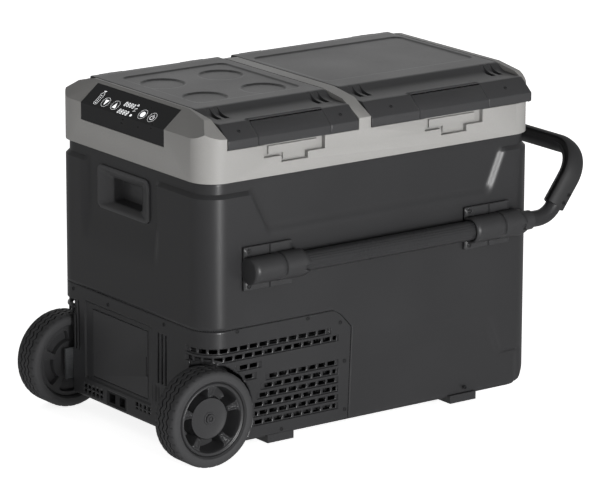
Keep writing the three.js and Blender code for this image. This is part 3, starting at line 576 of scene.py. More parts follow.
def cover_depth(x, y, z, angle):
    """How far the cover lies inside its outline: a flat trough under each row of louvres, and on
    the left face a field round the battery door with upright ribs beside the door, whose shape
    is a cosine cut to steps."""
    run = np.where(np.abs(np.cos(angle)) > 0.999, -(front_u + arc_run) - (side_run - np.abs(y)),
                   np.where(np.abs(np.sin(angle)) > 0.999, x,
                            -front_u - CORNER * np.abs(np.arcsin(np.clip(np.cos(angle), -1, 1)))))
    inward = np.zeros_like(z)
    for height, left, right, _ in LOUVRES:
        trough = step(TROUGH_HALF - np.abs(z - height), -0.1, 0.8)
        trough = trough * step(run - left + 3, 0, 1.5) * step(right + 3 - run, 0, 1.5)
        inward = np.maximum(inward, TROUGH * trough)
    left_face = step(-np.cos(angle), 0.97, 0.999)
    field = step(y, -57.5, -54.5) * step(-y, -124.5, -121.5)
    field = field * step(z, 57, 60) * step(-z, -181, -178)
    ribs = step(np.cos((y - RIB_START) * 2 * np.pi / RIB_PITCH), 0.2, 0.7) * step(y, -106, -102)
    ribs = ribs * step(-y, 60, 64) * step(z, 66, 69) * step(-z, -96, -93)
    return np.maximum(inward, left_face * np.maximum(FIELD_DEPTH * field, RIB_DEPTH * ribs))


trough_offsets = [side * reach for side in (-1, 1)
                  for reach in (TROUGH_HALF + 0.1, 4.4, CELL_HALF)]
trough_rows = [height + offset for height, *_ in LOUVRES for offset in trough_offsets]
cover_rows = spaced({CASE_BOTTOM, *DOOR_Z, *SOCKET_Z, *UPRIGHT_Z, BAY_TOP - SEAM,
                     40, 54, *trough_rows, 57, 60, 178, 181}, 3.4)
cover_rows = cover_rows[np.append(True, np.diff(cover_rows) > 0.05)]
half_pitch = LOUVRE_PITCH / 2
cell_edges = [start + offset for start in (0, half_pitch)
              for offset in (0, LOUVRE_GAP, half_pitch / 2, half_pitch - LOUVRE_GAP)]
first_cell = SEAM_U + 8
runs = (first_cell - LOUVRE_PITCH * np.arange(-1, 20)[:, None] - np.array(cell_edges)).ravel()
runs = runs[(runs < LEAN_ZONE[0] - 0.5) & (runs > -(front_u + arc_run) - 20)]
runs = np.concatenate([runs, np.linspace(LEAN_ZONE[0], SEAM_U - SEAM, LEAN_COLUMNS)])
front_side = FRONT_START + front_u + runs
left_stops = {-140, 140, *DOOR_Y, *SOCKET_Y, -57.5, -54.5, 121.5, 124.5, -106, -62}
left_stops |= {slot + side for slot in UPRIGHT_SLOTS for side in (0, UPRIGHT_WIDTH)}
left_stops |= {slot + side for slot, _ in VENT_SLOTS for side in (0, VENT_SIZE[0])}
left_side = LEFT_START + side_run - spaced(left_stops, 2.6)
rear_side = REAR_START + front_u - runs
cover_columns = np.unique(np.round(np.concatenate([front_side, left_side, rear_side]), 3))
cover_columns = cover_columns[np.append(True, np.diff(cover_columns) > 0.2)]

x, y, z = wall_points(cover_columns, cover_rows, cover_depth)
# grid points near the arch are drawn onto it: along the radius on the flat face, and up or
# down round the corner
near_arch = np.abs(y) > 156.5
radius = np.hypot(x - WHEEL_X, z - WHEEL_Z)
snap = near_arch & (np.abs(radius - ARCH) < ARCH_SNAP)
pull = np.where(snap, ARCH / np.maximum(radius, 1), 1)
flat = (np.abs(y) > HALF_Y - 4) & (x > -front_u)
x = np.where(snap & flat, WHEEL_X + (x - WHEEL_X) * pull, x)
z = np.where(snap & flat, WHEEL_Z + (z - WHEEL_Z) * pull, z)
rise = WHEEL_Z + np.sqrt(np.maximum(ARCH ** 2 - (x - WHEEL_X) ** 2, 0))
z = np.where(snap & ~flat & (np.abs(z - rise) < ARCH_SNAP), rise, z)

four = [slice(0, -1), slice(1, None)]
middle = [sum(part[a, b] for a in four for b in four) / 4 for part in (x, y, z)]
in_arch = np.hypot(middle[0] - WHEEL_X, middle[2] - WHEEL_Z) < ARCH
in_arch = in_arch & (np.abs(middle[1]) > 157)
run_mid = np.broadcast_to(face_run(mids(cover_columns))[None], in_arch.shape)
height_mid = np.broadcast_to(mids(cover_rows)[:, None], in_arch.shape)
on_long = (np.abs(middle[1]) > HALF_Y - 4) & (middle[0] > -front_u)
run_mid = np.where(on_long, middle[0], run_mid)
holes = in_arch.copy()
for height, left, right, shift in LOUVRES:
    phase = (first_cell - run_mid - shift * half_pitch) % LOUVRE_PITCH
    cell = (phase > LOUVRE_GAP) & (phase < LOUVRE_PITCH - LOUVRE_GAP)
    cell = cell & (run_mid > left) & (run_mid < right)
    holes |= cell & (np.abs(height_mid - height) < CELL_HALF)


def between(values, pair):
    """Where the values lie strictly inside a pair of limits."""
    return (values > pair[0]) & (values < pair[1])


on_left = middle[0] < -HALF_X + 5
holes |= on_left & between(middle[1], DOOR_Y) & between(middle[2], DOOR_Z)
holes |= on_left & between(middle[1], SOCKET_Y) & between(middle[2], SOCKET_Z)
for slot in UPRIGHT_SLOTS:
    across = between(middle[1], (slot, slot + UPRIGHT_WIDTH))
    holes |= on_left & across & between(middle[2], UPRIGHT_Z)
for slot, height in VENT_SLOTS:
    across = between(middle[1], (slot, slot + VENT_SIZE[0]))
    holes |= on_left & across & between(middle[2], (height, height + VENT_SIZE[1]))
cover_faces = quads(len(cover_rows), len(cover_columns), ~holes)
walled(made("bay_cover", metres(x, y, z), cover_faces, case_finish, "cabinet",
            ["machine_cover"], "case_plastic"), SHELL)


def dressed(node, name, material, bevel=0.7, smooth=30.0, segments=2):
    """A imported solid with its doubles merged, its flat facets joined and its edges eased."""
    source = frame["nodes"][node]
    shape = bmesh.new()
    shape.from_mesh(source.data)
    bmesh.ops.remove_doubles(shape, verts=shape.verts, dist=MERGE)
    bmesh.ops.dissolve_limit(shape, angle_limit=math.radians(0.4), verts=shape.verts,
                             edges=shape.edges)
    mesh = bpy.data.meshes.new(name)
    shape.to_mesh(mesh)
    shape.free()
    thing = fitted(name, mesh, material, smooth, source["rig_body"], [node])
    if bevel:
        eased = thing.modifiers.new("eased_edges", "BEVEL")
        eased.width = bevel / 1000.0
        eased.segments = segments
        eased.limit_method = "ANGLE"
        eased.angle_limit = math.radians(smooth)
        eased.harden_normals = True
    return thing


def painted(material, *nodes):
    """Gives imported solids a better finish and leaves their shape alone."""
    for node in nodes:
        slots = frame["nodes"][node].data.materials
        for number in range(len(slots)):
            slots[number] = material


# ---------------------------------------------------------------- base, feet and wheel wells
# The base pan carries four moulded feet and two rubber ones; the wells close the bay
# round the inner half of each wheel.
PAN_RIGHT = 284.0
tray = dressed("base_pan", "base_tray", case_finish, 0.6)
for vertex in tray.data.vertices:
    vertex.co.x = min(vertex.co.x, MIDDLE_X + PAN_RIGHT / 1000)
well_finish = moulded("well_moulding", (24, 24, 25), 0.7)
for side in ("front", "rear"):
    dressed(f"wheel_well_{side}", f"wheel_arch_{side}", well_finish, 0.4)
    dressed(f"rubber_foot_{side}", f"foot_pad_{side}", well_finish, 1.2)

# ---------------------------------------------------------------- carrying grips
# A smooth moulded cup set into each end face, for four fingers: its rim stands a little proud
# of the recessed wall round it, and a wide slope runs in to a deep bowl.
grip_finish = moulded("grip_moulding", (50, 50, 51), 0.42)
CUP_FACE = 302.0
CUP_MIDDLE = (21.0, 368.0)
# outward reach, half length, half height, height shift and corner radius, from the rim inwards
CUP_RINGS = [
    (-3.0, 70.0, 34.0, 0.0, 12.0), (0.2, 70.0, 34.0, 0.0, 12.0), (2.0, 69.6, 33.6, 0.0, 11.6),
    (2.6, 68.4, 32.4, 0.0, 10.6), (2.6, 64.0, 28.4, 0.0, 8.0), (1.9, 62.8, 27.4, 0.0, 7.4),
    (-1.5, 52.0, 23.6, -0.8, 6.6), (-5.0, 41.4, 19.8, -1.8, 6.0), (-6.4, 39.4, 18.8, -2.0, 5.6),
    (-9.0, 39.0, 18.6, -2.0, 5.6), (-20.0, 37.6, 18.0, -2.0, 5.6), (-23.4, 35.8, 16.6, -2.0, 5.0),
    (-24.0, 32.0, 13.4, -2.0, 4.0), (-24.0, 12.0, 4.0, -2.0, 1.5), (-24.0, 0.0, 0.0, -2.0, 0.0)]


def rounded_loop(half_length, half_height, radius, count=15):
    """A closed rounded rectangle: a quarter circle at each corner, joined by straight sides."""
    turn = np.radians(np.linspace(0, 90, count))
    loop = []
    for corner, (side_y, side_z) in enumerate(((1, 1), (-1, 1), (-1, -1), (1, -1))):
        bend = turn + corner * np.pi / 2
        loop.append(np.stack([side_y * (half_length - radius) + radius * np.cos(bend),
                              side_z * (half_height - radius) + radius * np.sin(bend)], 1))
    return np.concatenate(loop)


def finger_cup(side, way):
    """The cup: rounded rectangles lofted from the proud rim, down a wide shallow slope and on into
    a deep bowl."""
    rows = []
    for reach, half_length, half_height, shift, radius in CUP_RINGS:
        loop = rounded_loop(half_length, half_height, radius)
        rows.append(metres(way * (CUP_FACE + reach), -way * CUP_MIDDLE[0] - way * loop[:, 0],
                           CUP_MIDDLE[1] + shift + loop[:, 1]))
    grid = np.array(rows)
    made(f"finger_cup_{side}", grid, quads(*grid.shape[:2], around=True)[:, ::-1], grip_finish,
         "cabinet", [f"grip_cup_{side}"], "case_plastic", 50.0)


finger_cup("left", -1)
finger_cup("right", 1)

# ---------------------------------------------------------------- battery door and sockets
# The door closes over a slide-in battery; the supply and USB sockets sit under it.
door_finish = moulded("door_moulding", (42, 42, 43), 0.46)
dressed("battery_door", "battery_hatch", door_finish, 0.8)
dressed("socket_panel", "socket_plate", well_finish, 0.5)

# ---------------------------------------------------------------- upper frame
# A warm grey moulding that rings both lids, with a stepped recess under each latch.
frame_finish = moulded("frame_moulding", (130, 129, 127), 0.5, 1.1, 1.1)
dressed("upper_frame", "lid_surround", frame_finish, 0.9)
for side in ("left", "right"):
    dressed(f"latch_strike_{side}", f"strike_plate_{side}", frame_finish, 0.7)

# ---------------------------------------------------------------- control panel
# A smoked acrylic strip let into the frame's slope at the control end, over the display board,
# with white touch symbols printed on it; the print is given a painted glow.
WINDOW_FOOT = (-308.0, 489.0)
WINDOW_CLIMB = (31.3, 25.2)
WINDOW_RUN = 40.2
WINDOW_NORMAL = (-0.627, 0.779)
WINDOW_Y = 122.5
PRINT_LIFT = 0.12
# strength of the painted glow: the print's emission, which makes it shine though it is no lamp
PRINT_PAINTED_GLOW = 0.85
PRINT_THICK = 0.1


def acrylic():
    """Smoked acrylic: near-black, glossy, with faint finger marks in its shine."""
    finish = Finish("smoked_acrylic")
    place = finish.place()
    smear = finish.noise(finish.stretched(place, 1.0, 0.6, 1.8), 14.0, 5.0)
    dust = ((finish.noise(place, 0.8, 1.0) - 0.68) * 6.0).held()
    finish.feed("Base Color", finish.shade(dust, tone(34, 34, 35), tone(60, 60, 60)))
    finish.feed("Roughness", (0.2 + 0.22 * smear + 0.3 * dust).held())
    finish.feed("Specular IOR Level", 0.15)
    finish.relief(finish.noise(place, 30.0, 2.0), 0.05)
    return finish.material


dressed("display_panel", "control_window", acrylic(), 0.5)


def on_window(across, up, lift):
    """From millimetres across and up the panel's slanted face to metres of the model: the face's
    foot, plus a share of its climb, plus the lift along its normal."""
    share = up / WINDOW_RUN
    x, z = (foot + climb * share + normal * lift
            for foot, climb, normal in zip(WINDOW_FOOT, WINDOW_CLIMB, WINDOW_NORMAL))
    return metres(x, WINDOW_Y - across, z)


def flat_ring(across, up, outer, inner, start=0.0, end=360.0, steps=40):
    """A flat ring or arc of a ring: four corners a step."""
    turn = np.radians(np.linspace(start, end, steps + 1))
    rims = [np.stack([across + reach * np.cos(turn), up + reach * np.sin(turn)], 1)
            for reach in (inner, outer)]
    near = np.arange(steps)
    faces = np.stack([near, near + 1, near + steps + 2, near + steps + 1], 1)
    return np.concatenate(rims), faces


def flat_bar(from_point, to_point, width):
    """A flat straight stroke between two points."""
    from_point, to_point = np.array(from_point, float), np.array(to_point, float)
    along = (to_point - from_point) / np.hypot(*(to_point - from_point))
    off = np.array([-along[1], along[0]]) * width / 2
    corners = [from_point - off, to_point - off, to_point + off, from_point + off]
    return np.array(corners), np.array([[0, 1, 2, 3]])


def figure_eight(across, up, size=3.6, height=7.2):
    """A seven-segment figure with every bar printed, leaning to the right by 1 mm."""
    ends = [((0, 0), (1, 0)), ((0, 0.5), (1, 0.5)), ((0, 1), (1, 1)), ((0, 0), (0, 0.5)),
            ((0, 0.5), (0, 1)), ((1, 0), (1, 0.5)), ((1, 0.5), (1, 1))]
    bars = []
    for (a, b), (c, d) in ends:
        start = np.array([across + a * size + b, up + b * height])
        stop = np.array([across + c * size + d, up + d * height])
        bars.append(flat_bar(start + (stop - start) * 0.1, stop - (stop - start) * 0.1, 0.85))
    return bars


def window_symbols():
    """Generic touch symbols: charge gauge, down and up keys, two rows of figures, a settings key
    and a power key, each a thin print on the window."""
    parts = [flat_ring(27, 8, 4.4, 3.9, 180, 360, 20), flat_ring(27, 23, 4.4, 3.9, 0, 180, 20)]
    parts += [flat_bar((22.85, 8), (22.85, 23), 0.5), flat_bar((31.15, 8), (31.15, 23), 0.5)]
    parts += [flat_ring(27, 7 + 3.6 * row, 0.9, 0.05, steps=12) for row in range(5)]
    parts += [flat_bar((24.4, 31), (27, 28.9), 1.3), flat_bar((27, 28.9), (29.8, 31.4), 1.3)]
    for across in (48, 73.5, 147, 172):
        parts.append(flat_ring(across, 13, 8.8, 8.5))
    arrow = np.array([[48, 7.2], [52.6, 17.6], [48, 17.6], [43.4, 17.6]])
    parts += [(arrow, np.array([[0, 1, 2, 3]])),
              (arrow * [1, -1] + [25.5, 25.6], np.array([[0, 3, 2, 1]]))]
    for row in (2.6, 17.2):
        for place in (89, 96, 103, 110):
            parts += figure_eight(place + row * 0.1, row)
    parts += [flat_ring(122, 25, 1.9, 0.9, steps=16), flat_bar((120, 17), (125.5, 19.5), 1.0),
              flat_bar((120.4, 12.6), (124.6, 14.4), 0.8), flat_ring(124, 5, 2.2, 0.05, steps=16)]
    parts += [flat_ring(147, 13, 5.0, 0.05), flat_ring(172, 12.6, 4.4, 3.6, 130, 410, 30),
              flat_bar((172, 13.4), (172, 18.6), 0.8)]
    points, faces = joined(parts)
    return on_window(points[:, 0], points[:, 1], PRINT_LIFT), faces


def joined(parts):
    """Several grids of points and faces as one."""
    points, faces, start = [], [], 0
    for grid, corners in parts:
        grid = grid.reshape(-1, grid.shape[-1])
        points.append(grid)
        faces.append(corners + start)
        start += len(grid)
    return np.concatenate(points), np.concatenate(faces)


# White print with a painted glow: an emission makes it shine though it is no lamp.
print_finish = Finish("print_with_painted_glow")
ink = print_finish.noise(print_finish.place(), 1.5, 2.0)
print_finish.feed("Base Color", print_finish.shade(ink, tone(225, 226, 228), tone(250, 250, 250)))
print_painted_glow = print_finish.shade(ink, tone(235, 238, 242), tone(255, 255, 255))
print_finish.feed("Emission Color", print_painted_glow)
print_finish.feed("Emission Strength", PRINT_PAINTED_GLOW)
print_finish.feed("Roughness", 0.35 + 0.1 * ink)
points, faces = window_symbols()
symbols = made("window_symbols", points, faces, print_finish.material, "cabinet",
               slot="display", sharp=80)
walled(symbols, PRINT_THICK)

# ---------------------------------------------------------------- lids
# Two foam-filled lids hinged at the back, each with a concave ledge and a lip that
# carries the latch lever.
lid_finish = moulded("lid_moulding", (46, 46, 47), 0.42)
lever_finish = moulded("lever_moulding", (42, 42, 43), 0.44)


def bare_metal(name, dark, light, metallic, roughness, streak, size, detail):
    """Drawn or brushed metal: streaks along X that tint it and roughen its shine."""
    finish = Finish(name)
    streaks = finish.noise(finish.stretched(finish.place(), streak, 1.0, 1.0), size, detail)
    finish.feed("Base Color", finish.shade(streaks, tone(*dark), tone(*light)))
    finish.feed("Metallic", metallic)
    finish.feed("Roughness", roughness + 0.2 * streaks)
    finish.relief(streaks, 0.02)
    return finish.material


bright_steel = bare_metal("bright_steel", (120, 122, 124), (170, 172, 175), 0.95, 0.28,
                          0.05, 1.0, 3.0)
steel_black = moulded("blackened_steel", (24, 24, 25), 0.4)
liner_finish = moulded("liner_moulding", (214, 214, 210), 0.38, 1.06, 1.4)
seal_finish = moulded("seal_rubber", (30, 30, 31), 0.75)
LID_TOP = 518.0
LID_BOTTOM = 494.0
LEVER_GAP = 0.5
LEVER_SEAT = (-176.3, -167.5)
LEVER_CUT = -175.7
SEAT_RISE = 1.6
PANEL_DROP = 1.6
PANEL_STEP = 1.6
PANEL_CORNER = 14.0
CAN_DROP = 1.9
CAN_RADIUS = 34.0
NOTCHES = (20.0, 34.0)
NOTCH_HALF = 4.2
NOTCH_DEPTH = 5.0
LID_WALL = 2.4
# how far the lid's top lies below its height in each of the four columns at its ends; the
# outermost column is the foot of the end wall
END_DROP = [0.0, 1.6, 0.9, 0.25]
END_WALL_Y = -190.0
# back wall, flat top, concave ledge, slanted lip and its inner return
LID_PROFILE = np.array([
    (164, 494), (164, 505), (164, 516.8), (163.6, 517.6), (162.6, 518), (150, 518), (-112, 518),
    (-115.5, 517.7), (-118.5, 516.6), (-122, 514), (-126, 510.9), (-131, 508.8), (-138, 507.5),
    (-150, 506.8), (-164, 506.4), (-165, 506.4), (-168, 506.3), (-169, 506.3), (-175.6, 506),
    (-176.6, 505.6), (-177.6, 504.9), (-199.8, 486.6), (-200.7, 485.4), (-201, 484), (-201, 473),
    (-200.6, 472.2), (-199.8, 472), (-196.4, 472)], float)


def rounded_gap(x, y, low, high, radius):
    """Distance inside a rounded rectangle, from its edge: positive inside."""
    half = [(high[0] - low[0]) / 2, (high[1] - low[1]) / 2]
    over_x = np.abs(x - (low[0] + high[0]) / 2) - half[0] + radius
    over_y = np.abs(y - (low[1] + high[1]) / 2) - half[1] + radius
    outside = np.hypot(np.maximum(over_x, 0), np.maximum(over_y, 0))
    return radius - outside - np.minimum(np.maximum(over_x, over_y), 0)


def lid_skin(side, x0, x1, lever, recess, cans):
    """Lid shell: the profile carried along X, sunk by a smooth step inside a rounded rectangle and
    again inside each can ring; the last columns turn down as the end walls."""
    flat = (LID_PROFILE[:, 1] == LID_TOP).nonzero()[0]
    top = spaced([LID_PROFILE[flat[-1], 0], recess[2] - 1, recess[2] + 3, recess[3] - 3,
                  recess[3] + 1, LID_PROFILE[flat[1], 0]], 2.4)[::-1]
    profile = np.concatenate([LID_PROFILE[:flat[1]], np.stack([top, top * 0 + LID_TOP], 1),
                              LID_PROFILE[flat[-1] + 1:]])
    edges = [lever[0] - LEVER_GAP, lever[1] + LEVER_GAP]
    stops = [x0 + 1.6, recess[0] - 1, recess[0] + 3, recess[1] - 3, recess[1] + 1, x1 - 1.6,
             *edges, lever[0] - 3, lever[1] + 3]
    notches = [end + way * offset for end, way in ((x0, 1), (x1, -1)) for offset in NOTCHES]
    stops += [centre + side * reach for centre in notches for side in (-1, 1)
              for reach in (NOTCH_HALF, NOTCH_HALF - 0.8)]
    inner = spaced(stops, 2.6)
    across = np.concatenate([[x0, x0, x0 + 0.1, x0 + 0.6], inner, [x1 - 0.6, x1 - 0.1, x1, x1]])
    drop = np.concatenate([END_DROP, inner * 0, END_DROP[::-1]])
    foot = (np.arange(len(across)) % (len(across) - 1) == 0)[None]
    x, y = np.meshgrid(across, profile[:, 0])
    z = np.meshgrid(across, profile[:, 1])[1]
    inside = rounded_gap(x, y, (recess[0], recess[2]), (recess[1], recess[3]), PANEL_CORNER)
    sunk = PANEL_DROP * step(inside, 0, PANEL_STEP)
    for can_x, can_y in cans:
        inside = CAN_RADIUS - np.hypot(x - can_x, y - can_y)
        sunk = sunk + CAN_DROP * step(inside, 0, PANEL_STEP)
    seat = step(x, lever[0] - 2, lever[0] - 1) * step(-x, -lever[1] - 2, -lever[1] - 1)
    z = np.where(z == LID_TOP, z - sunk, z) + SEAT_RISE * seat * between(y, LEVER_SEAT)
    notch = sum(step(NOTCH_HALF - np.abs(x - centre), 0, 0.8) for centre in notches)
    z = z - NOTCH_DEPTH * notch * step(-y, 118, 124) * step(y, -150, -147)
    below = z <= LID_BOTTOM
    y = np.where(foot, np.maximum(y, END_WALL_Y), np.where(below, y + drop * 0.6, y))
    z = np.where(foot, np.minimum(z, LID_BOTTOM), np.where(below, z, z - drop))
    mid_x, mid_y = np.meshgrid(mids(across), mids(profile[:, 0]))
    hole = between(mid_x, edges) & (mid_y < LEVER_CUT)
    faces = quads(len(profile), len(across), ~hole)[:, ::-1]
    skin = made(f"lid_skin_{side}", metres(x, y, z), faces, lid_finish, f"lid_{side}",
                [f"lid_shell_{side}"], "lid_plastic", 40.0)
    walled(skin, LID_WALL)


lid_skin("left", -267.3, -31.7, (-213, -83), (-240, -50, -85, 125),
         [(-205, 61), (-99, 61), (-205, -51), (-99, -51)])
lid_skin("right", -7.3, 297.3, (83, 213), (2, 288, -74, 126), [])

HINGE = np.array([172.0, 510.0])
BARREL_R = 6.0
WEB_FOOT = (163.0, 504.6)
WEB_HEAD = (163.0, 515.4)
KNUCKLE_LONG = 11.0
# where the two knuckles start, from the lid's two ends
KNUCKLE_PLACES = (38.5, -49.5)


def polar(radius, turn):
    """Points at angles round zero: the radius times the cosine and the sine."""
    return np.stack([radius * np.cos(turn), radius * np.sin(turn)], 1)


def carried(outline, x0, x1, ease=0.6):
    """A closed outline in Y and Z carried from x0 to x1, its ends drawn in a little and capped."""
    outline = np.asarray(outline, float)
    heart = outline.mean(0)
    small = heart + (outline - heart) * (1 - ease / np.abs(outline - heart).max())
    rows = [np.repeat(heart[None], len(outline), 0), small, outline, outline, small,
            np.repeat(heart[None], len(outline), 0)]
    stations = [x0, x0, x0 + ease, x1 - ease, x1, x1]
    grid = np.array([metres(at, row[:, 0], row[:, 1]) for at, row in zip(stations, rows)])
    return grid, quads(len(rows), len(outline), around=True)


def knuckles(side, x0, x1):
    """The lid's two hinge knuckles: a round barrel with a web back to the lid's edge."""
    barrel = HINGE + polar(BARREL_R, np.radians(np.linspace(-115, 115, 17)))
    outline = np.concatenate([[WEB_FOOT], barrel, [WEB_HEAD]])
    starts = [end + offset for end, offset in zip((x0, x1), KNUCKLE_PLACES)]
    parts = [carried(outline, start, start + KNUCKLE_LONG) for start in starts]
    made(f"lid_knuckles_{side}", *joined(parts), lid_finish, f"lid_{side}", closed=True,
         slot="lid_plastic")


knuckles("left", -268, -31)
knuckles("right", -8, 298)
LATCH_PIN = np.array([-181.0, 497.5])
HEAD_R = 7.6


def latch_handle(side, x0, x1):
    """Latch lever: a slanted face that runs on from the lid's lip, rounded about its pin above."""
    head = LATCH_PIN + polar(HEAD_R, np.radians(np.linspace(58, -120, 14)))
    front = [(-196.6, 480), (-196.6, 472.6), (-197.2, 472.1), (-200.4, 472.1), (-201, 472.7),
             (-201, 484.4), (-200.6, 485.6), (-179.4, 503.8), (-178.2, 504.4)]
    points, faces = carried(np.concatenate([head, front]), x0, x1, 0.5)
    made(f"latch_handle_{side}", points, faces, lever_finish, f"latch_{side}",
         [f"latch_lever_{side}"], "latch_plastic", closed=True)


latch_handle("left", -213, -83)
latch_handle("right", 83, 213)
for side in ("left", "right"):
    dressed(f"lid_panel_{side}", f"lid_lining_{side}", liner_finish, 1.5)
    dressed(f"lid_gasket_{side}", f"lid_seal_{side}", seal_finish, 0.8)
    dressed(f"liner_{side}", f"tub_{side}", liner_finish, 1.2)
    painted(bright_steel, f"hinge_pin_{side}", f"latch_pin_{side}")

# ---------------------------------------------------------------- rails
# An aluminium tube on each long face, painted satin charcoal, held in two moulded
# saddles; each saddle is two overlapping halves screwed to the case through their flanges.
RAIL_Y = 218.0
RAIL_Z = 291.0
RAIL_R = 15.0
SADDLE_R = 20.0
FLANGE_Y = 206.0
SADDLES = [(-243.0, -144.0), (167.0, 265.0)]
SADDLE_WALL = 3.8
SEAM_AT = 56.0
SEAM_DEPTH = 1.6
# the right half lies this much further out than the left one, which it overlaps
OVERLAP = 0.7
SIDES = (("front", -1), ("rear", 1))

tube_finish = moulded("satin_tube", (34, 34, 35), 0.36, 1.3, 0.6)
saddle_finish = moulded("saddle_moulding", (40, 40, 41), 0.46)


def saddle_section():
    """Half shell round the rail with a flat flange above and below: outward depth and height,
    from the top flange's edge down to the bottom one's."""
    turn = np.radians(np.linspace(52, 308, 45))
    bulge = np.stack([RAIL_Y - SADDLE_R * np.cos(turn), RAIL_Z + SADDLE_R * np.sin(turn)], 1)
    flange = np.array([(FLANGE_Y - 4.5, 33), (FLANGE_Y - 0.8, 33), (FLANGE_Y, 32.2), (FLANGE_Y, 26),
                       (FLANGE_Y, 20.5), (FLANGE_Y - 0.6, 18.6)])
    upper = flange + [0, RAIL_Z]
    lower = (flange * [1, -1] + [0, RAIL_Z])[::-1]
    return np.concatenate([upper, bulge, lower])


def saddle_parts(x0, x1, way):
    """The section carried along X: its right end steps out as a hook with a notch, and the seam
    between the halves is a groove whose column follows the seam down the section. The groove is
    taken off along the section's own outward direction."""
    section = saddle_section()
    level = section[:, 1] - RAIL_Z
    on_bulge = section[:, 0] > FLANGE_Y + 0.5
    hook = np.interp(level, [-18, -9, -8.6, 1.6, 2, 17], [7, 0, 9, 9, 0, 5])
    right = np.where(on_bulge, x1 - hook, x1 - 13)
    seam = x0 + np.where(on_bulge, SEAM_AT - 9 * step(-level, 8, 17), SEAM_AT - 10)
    share = spaced([0, 0.42, 0.48, 0.5, 0.52, 0.58, 1], 0.08)
    x = np.where(share[:, None] < 0.5, x0 + (seam - x0) * share[:, None] / 0.5,
                 seam + (right - seam) * (share[:, None] - 0.5) / 0.5)
    near = np.abs(x - seam)
    groove = SEAM_DEPTH * (1 - step(near, 0.4, 1.1)) - OVERLAP * (x > seam)
    out_y = section[:, 0] - RAIL_Y
    length = np.maximum(np.hypot(out_y, level), 1)
    y = section[:, 0] - groove * np.where(on_bulge, out_y / length, 1)
    z = section[:, 1] - groove * np.where(on_bulge, level / length, 0)
    faces = quads(len(share), len(section))
    return metres(x, way * y, np.broadcast_to(z, x.shape)), faces if way < 0 else faces[:, ::-1]


# share of the screw's radius and rise above the face, from the middle of the head to the back
SCREW_RINGS = [(0.0, 0.25), (0.3, 0.25), (0.55, 0.3), (0.66, 0.1), (0.72, -0.3), (0.8, -0.3),
               (0.86, 0.55), (0.98, 0.6), (1.08, 0.25), (1.1, -1.0), (0.6, -1.4), (0.0, -1.4)]
SCREW_SLOT = 0.75


def screw_head(place, normal, radius=3.6):
    """A slotted screw sunk in a moulded rim: rings of points round a normal, the slot being a
    fall in height across the middle."""
    turn = full_turn(24)
    normal = np.asarray(normal, float)
    up = np.array([0.0, 0.0, 1.0]) if abs(normal[2]) < 0.9 else np.array([0.0, 1.0, 0.0])
    right = np.cross(up, normal)
    right /= np.linalg.norm(right)
    up = np.cross(normal, right)
    rows = []
    for share, rise in SCREW_RINGS:
        a = share * radius * np.cos(turn)
        b = share * radius * np.sin(turn)
        in_slot = (np.abs(a * 0.8 + b * 0.6) < 0.5) * (share < 0.6) * (rise > 0)
        height = rise - SCREW_SLOT * in_slot
        rows.append(place + a[:, None] * right + b[:, None] * up + height[:, None] * normal)
    grid = np.array(rows)
    return metres(*np.moveaxis(grid, -1, 0)), quads(*grid.shape[:2], around=True)


for side, way in SIDES:
    for place, (x0, x1) in zip(("left", "right"), SADDLES):
        points, faces = saddle_parts(x0, x1, way)
        saddle = made(f"rail_saddle_{side}_{place}", points, faces, saddle_finish, "cabinet",
                      [f"rail_bracket_{side}_{place}"], "case_plastic", 38.0)
        walled(saddle, SADDLE_WALL)
        screws = [screw_head((at, way * (FLANGE_Y + 0.1), RAIL_Z + level), (0, way, 0))
                  for at in (x0 + 9, x1 - 21) for level in (26.5, -26.5)]
        made(f"saddle_screws_{side}_{place}", *joined(screws), steel_black, "cabinet",
             closed=True, slot="steel")


TUBE_WALL = 1.8
TUBE_X = (-240.0, 264.0)
# angles of the fine lines drawn along the tube
TUBE_LINES = (20, 35, 50, 130, 145, 160, 200, 340)
LINE_DEPTH = 0.5
PLUG_X = -243.2
# reach from the plug's middle and how far it stands out, from the middle to the back
PLUG_RINGS = [(0, 0.7), (6, 0.7), (12, 0.6), (16, 0.5), (19.0, 0.3), (19.5, 0), (19.5, -0.6),
              (0, -0.6)]


def tube_section(radius, lines=()):
    """A circle with fine drawn lines: the radius falls by a bell curve at each line's angle."""
    turn = full_turn(120)
    away = [np.degrees(np.abs(turn - math.radians(line))) for line in lines]
    cut = sum(np.exp(-(angle / 3.2) ** 2) for angle in away)
    return polar(radius - LINE_DEPTH * cut, turn)


for side, way in SIDES:
    axis = np.array([way * RAIL_Y, RAIL_Z])
    outer = axis + tube_section(RAIL_R, TUBE_LINES)
    bore = axis + tube_section(RAIL_R - TUBE_WALL)
    x0, x1 = TUBE_X
    stations = [(x0, bore), (x0, outer), (x1, outer), (x1, bore), (x0, bore)]
    grid = np.array([metres(at, *outline.T) for at, outline in stations])
    made(f"side_rail_{side}", grid, quads(*grid.shape[:2], around=True), tube_finish, "cabinet",
         [f"rail_tube_{side}"], "painted_tube", closed=True)
    plug = np.array([metres(PLUG_X - rise, *(axis + polar(reach, full_turn(48))).T)
                     for reach, rise in PLUG_RINGS])
    made(f"rail_plug_{side}", plug, quads(*plug.shape[:2], around=True), saddle_finish,
         "cabinet", closed=True, slot="case_plastic")
    dressed(f"guide_collar_{side}", f"rail_collar_{side}", saddle_finish, 0.6)
    dressed(f"slide_tube_{side}", f"handle_tube_{side}", tube_finish, 0.0)

# ---------------------------------------------------------------- pull handle grip
# A soft over-moulding round the handle's U bar: an oval with a finger channel down its
# inner side, screwed to the tube at each end.
ARM = math.radians(54)
ARM_START = np.array([330.3, 0.0, 307.5])
GRIP_CORNER = np.array([387.3, 0.0, 386.0])
GRIP_BEND = 50.0
GRIP_WIDE = 19.0
GRIP_THICK = 12.5
CHANNEL_DEPTH = 6.5
OVAL_POWER = 0.86
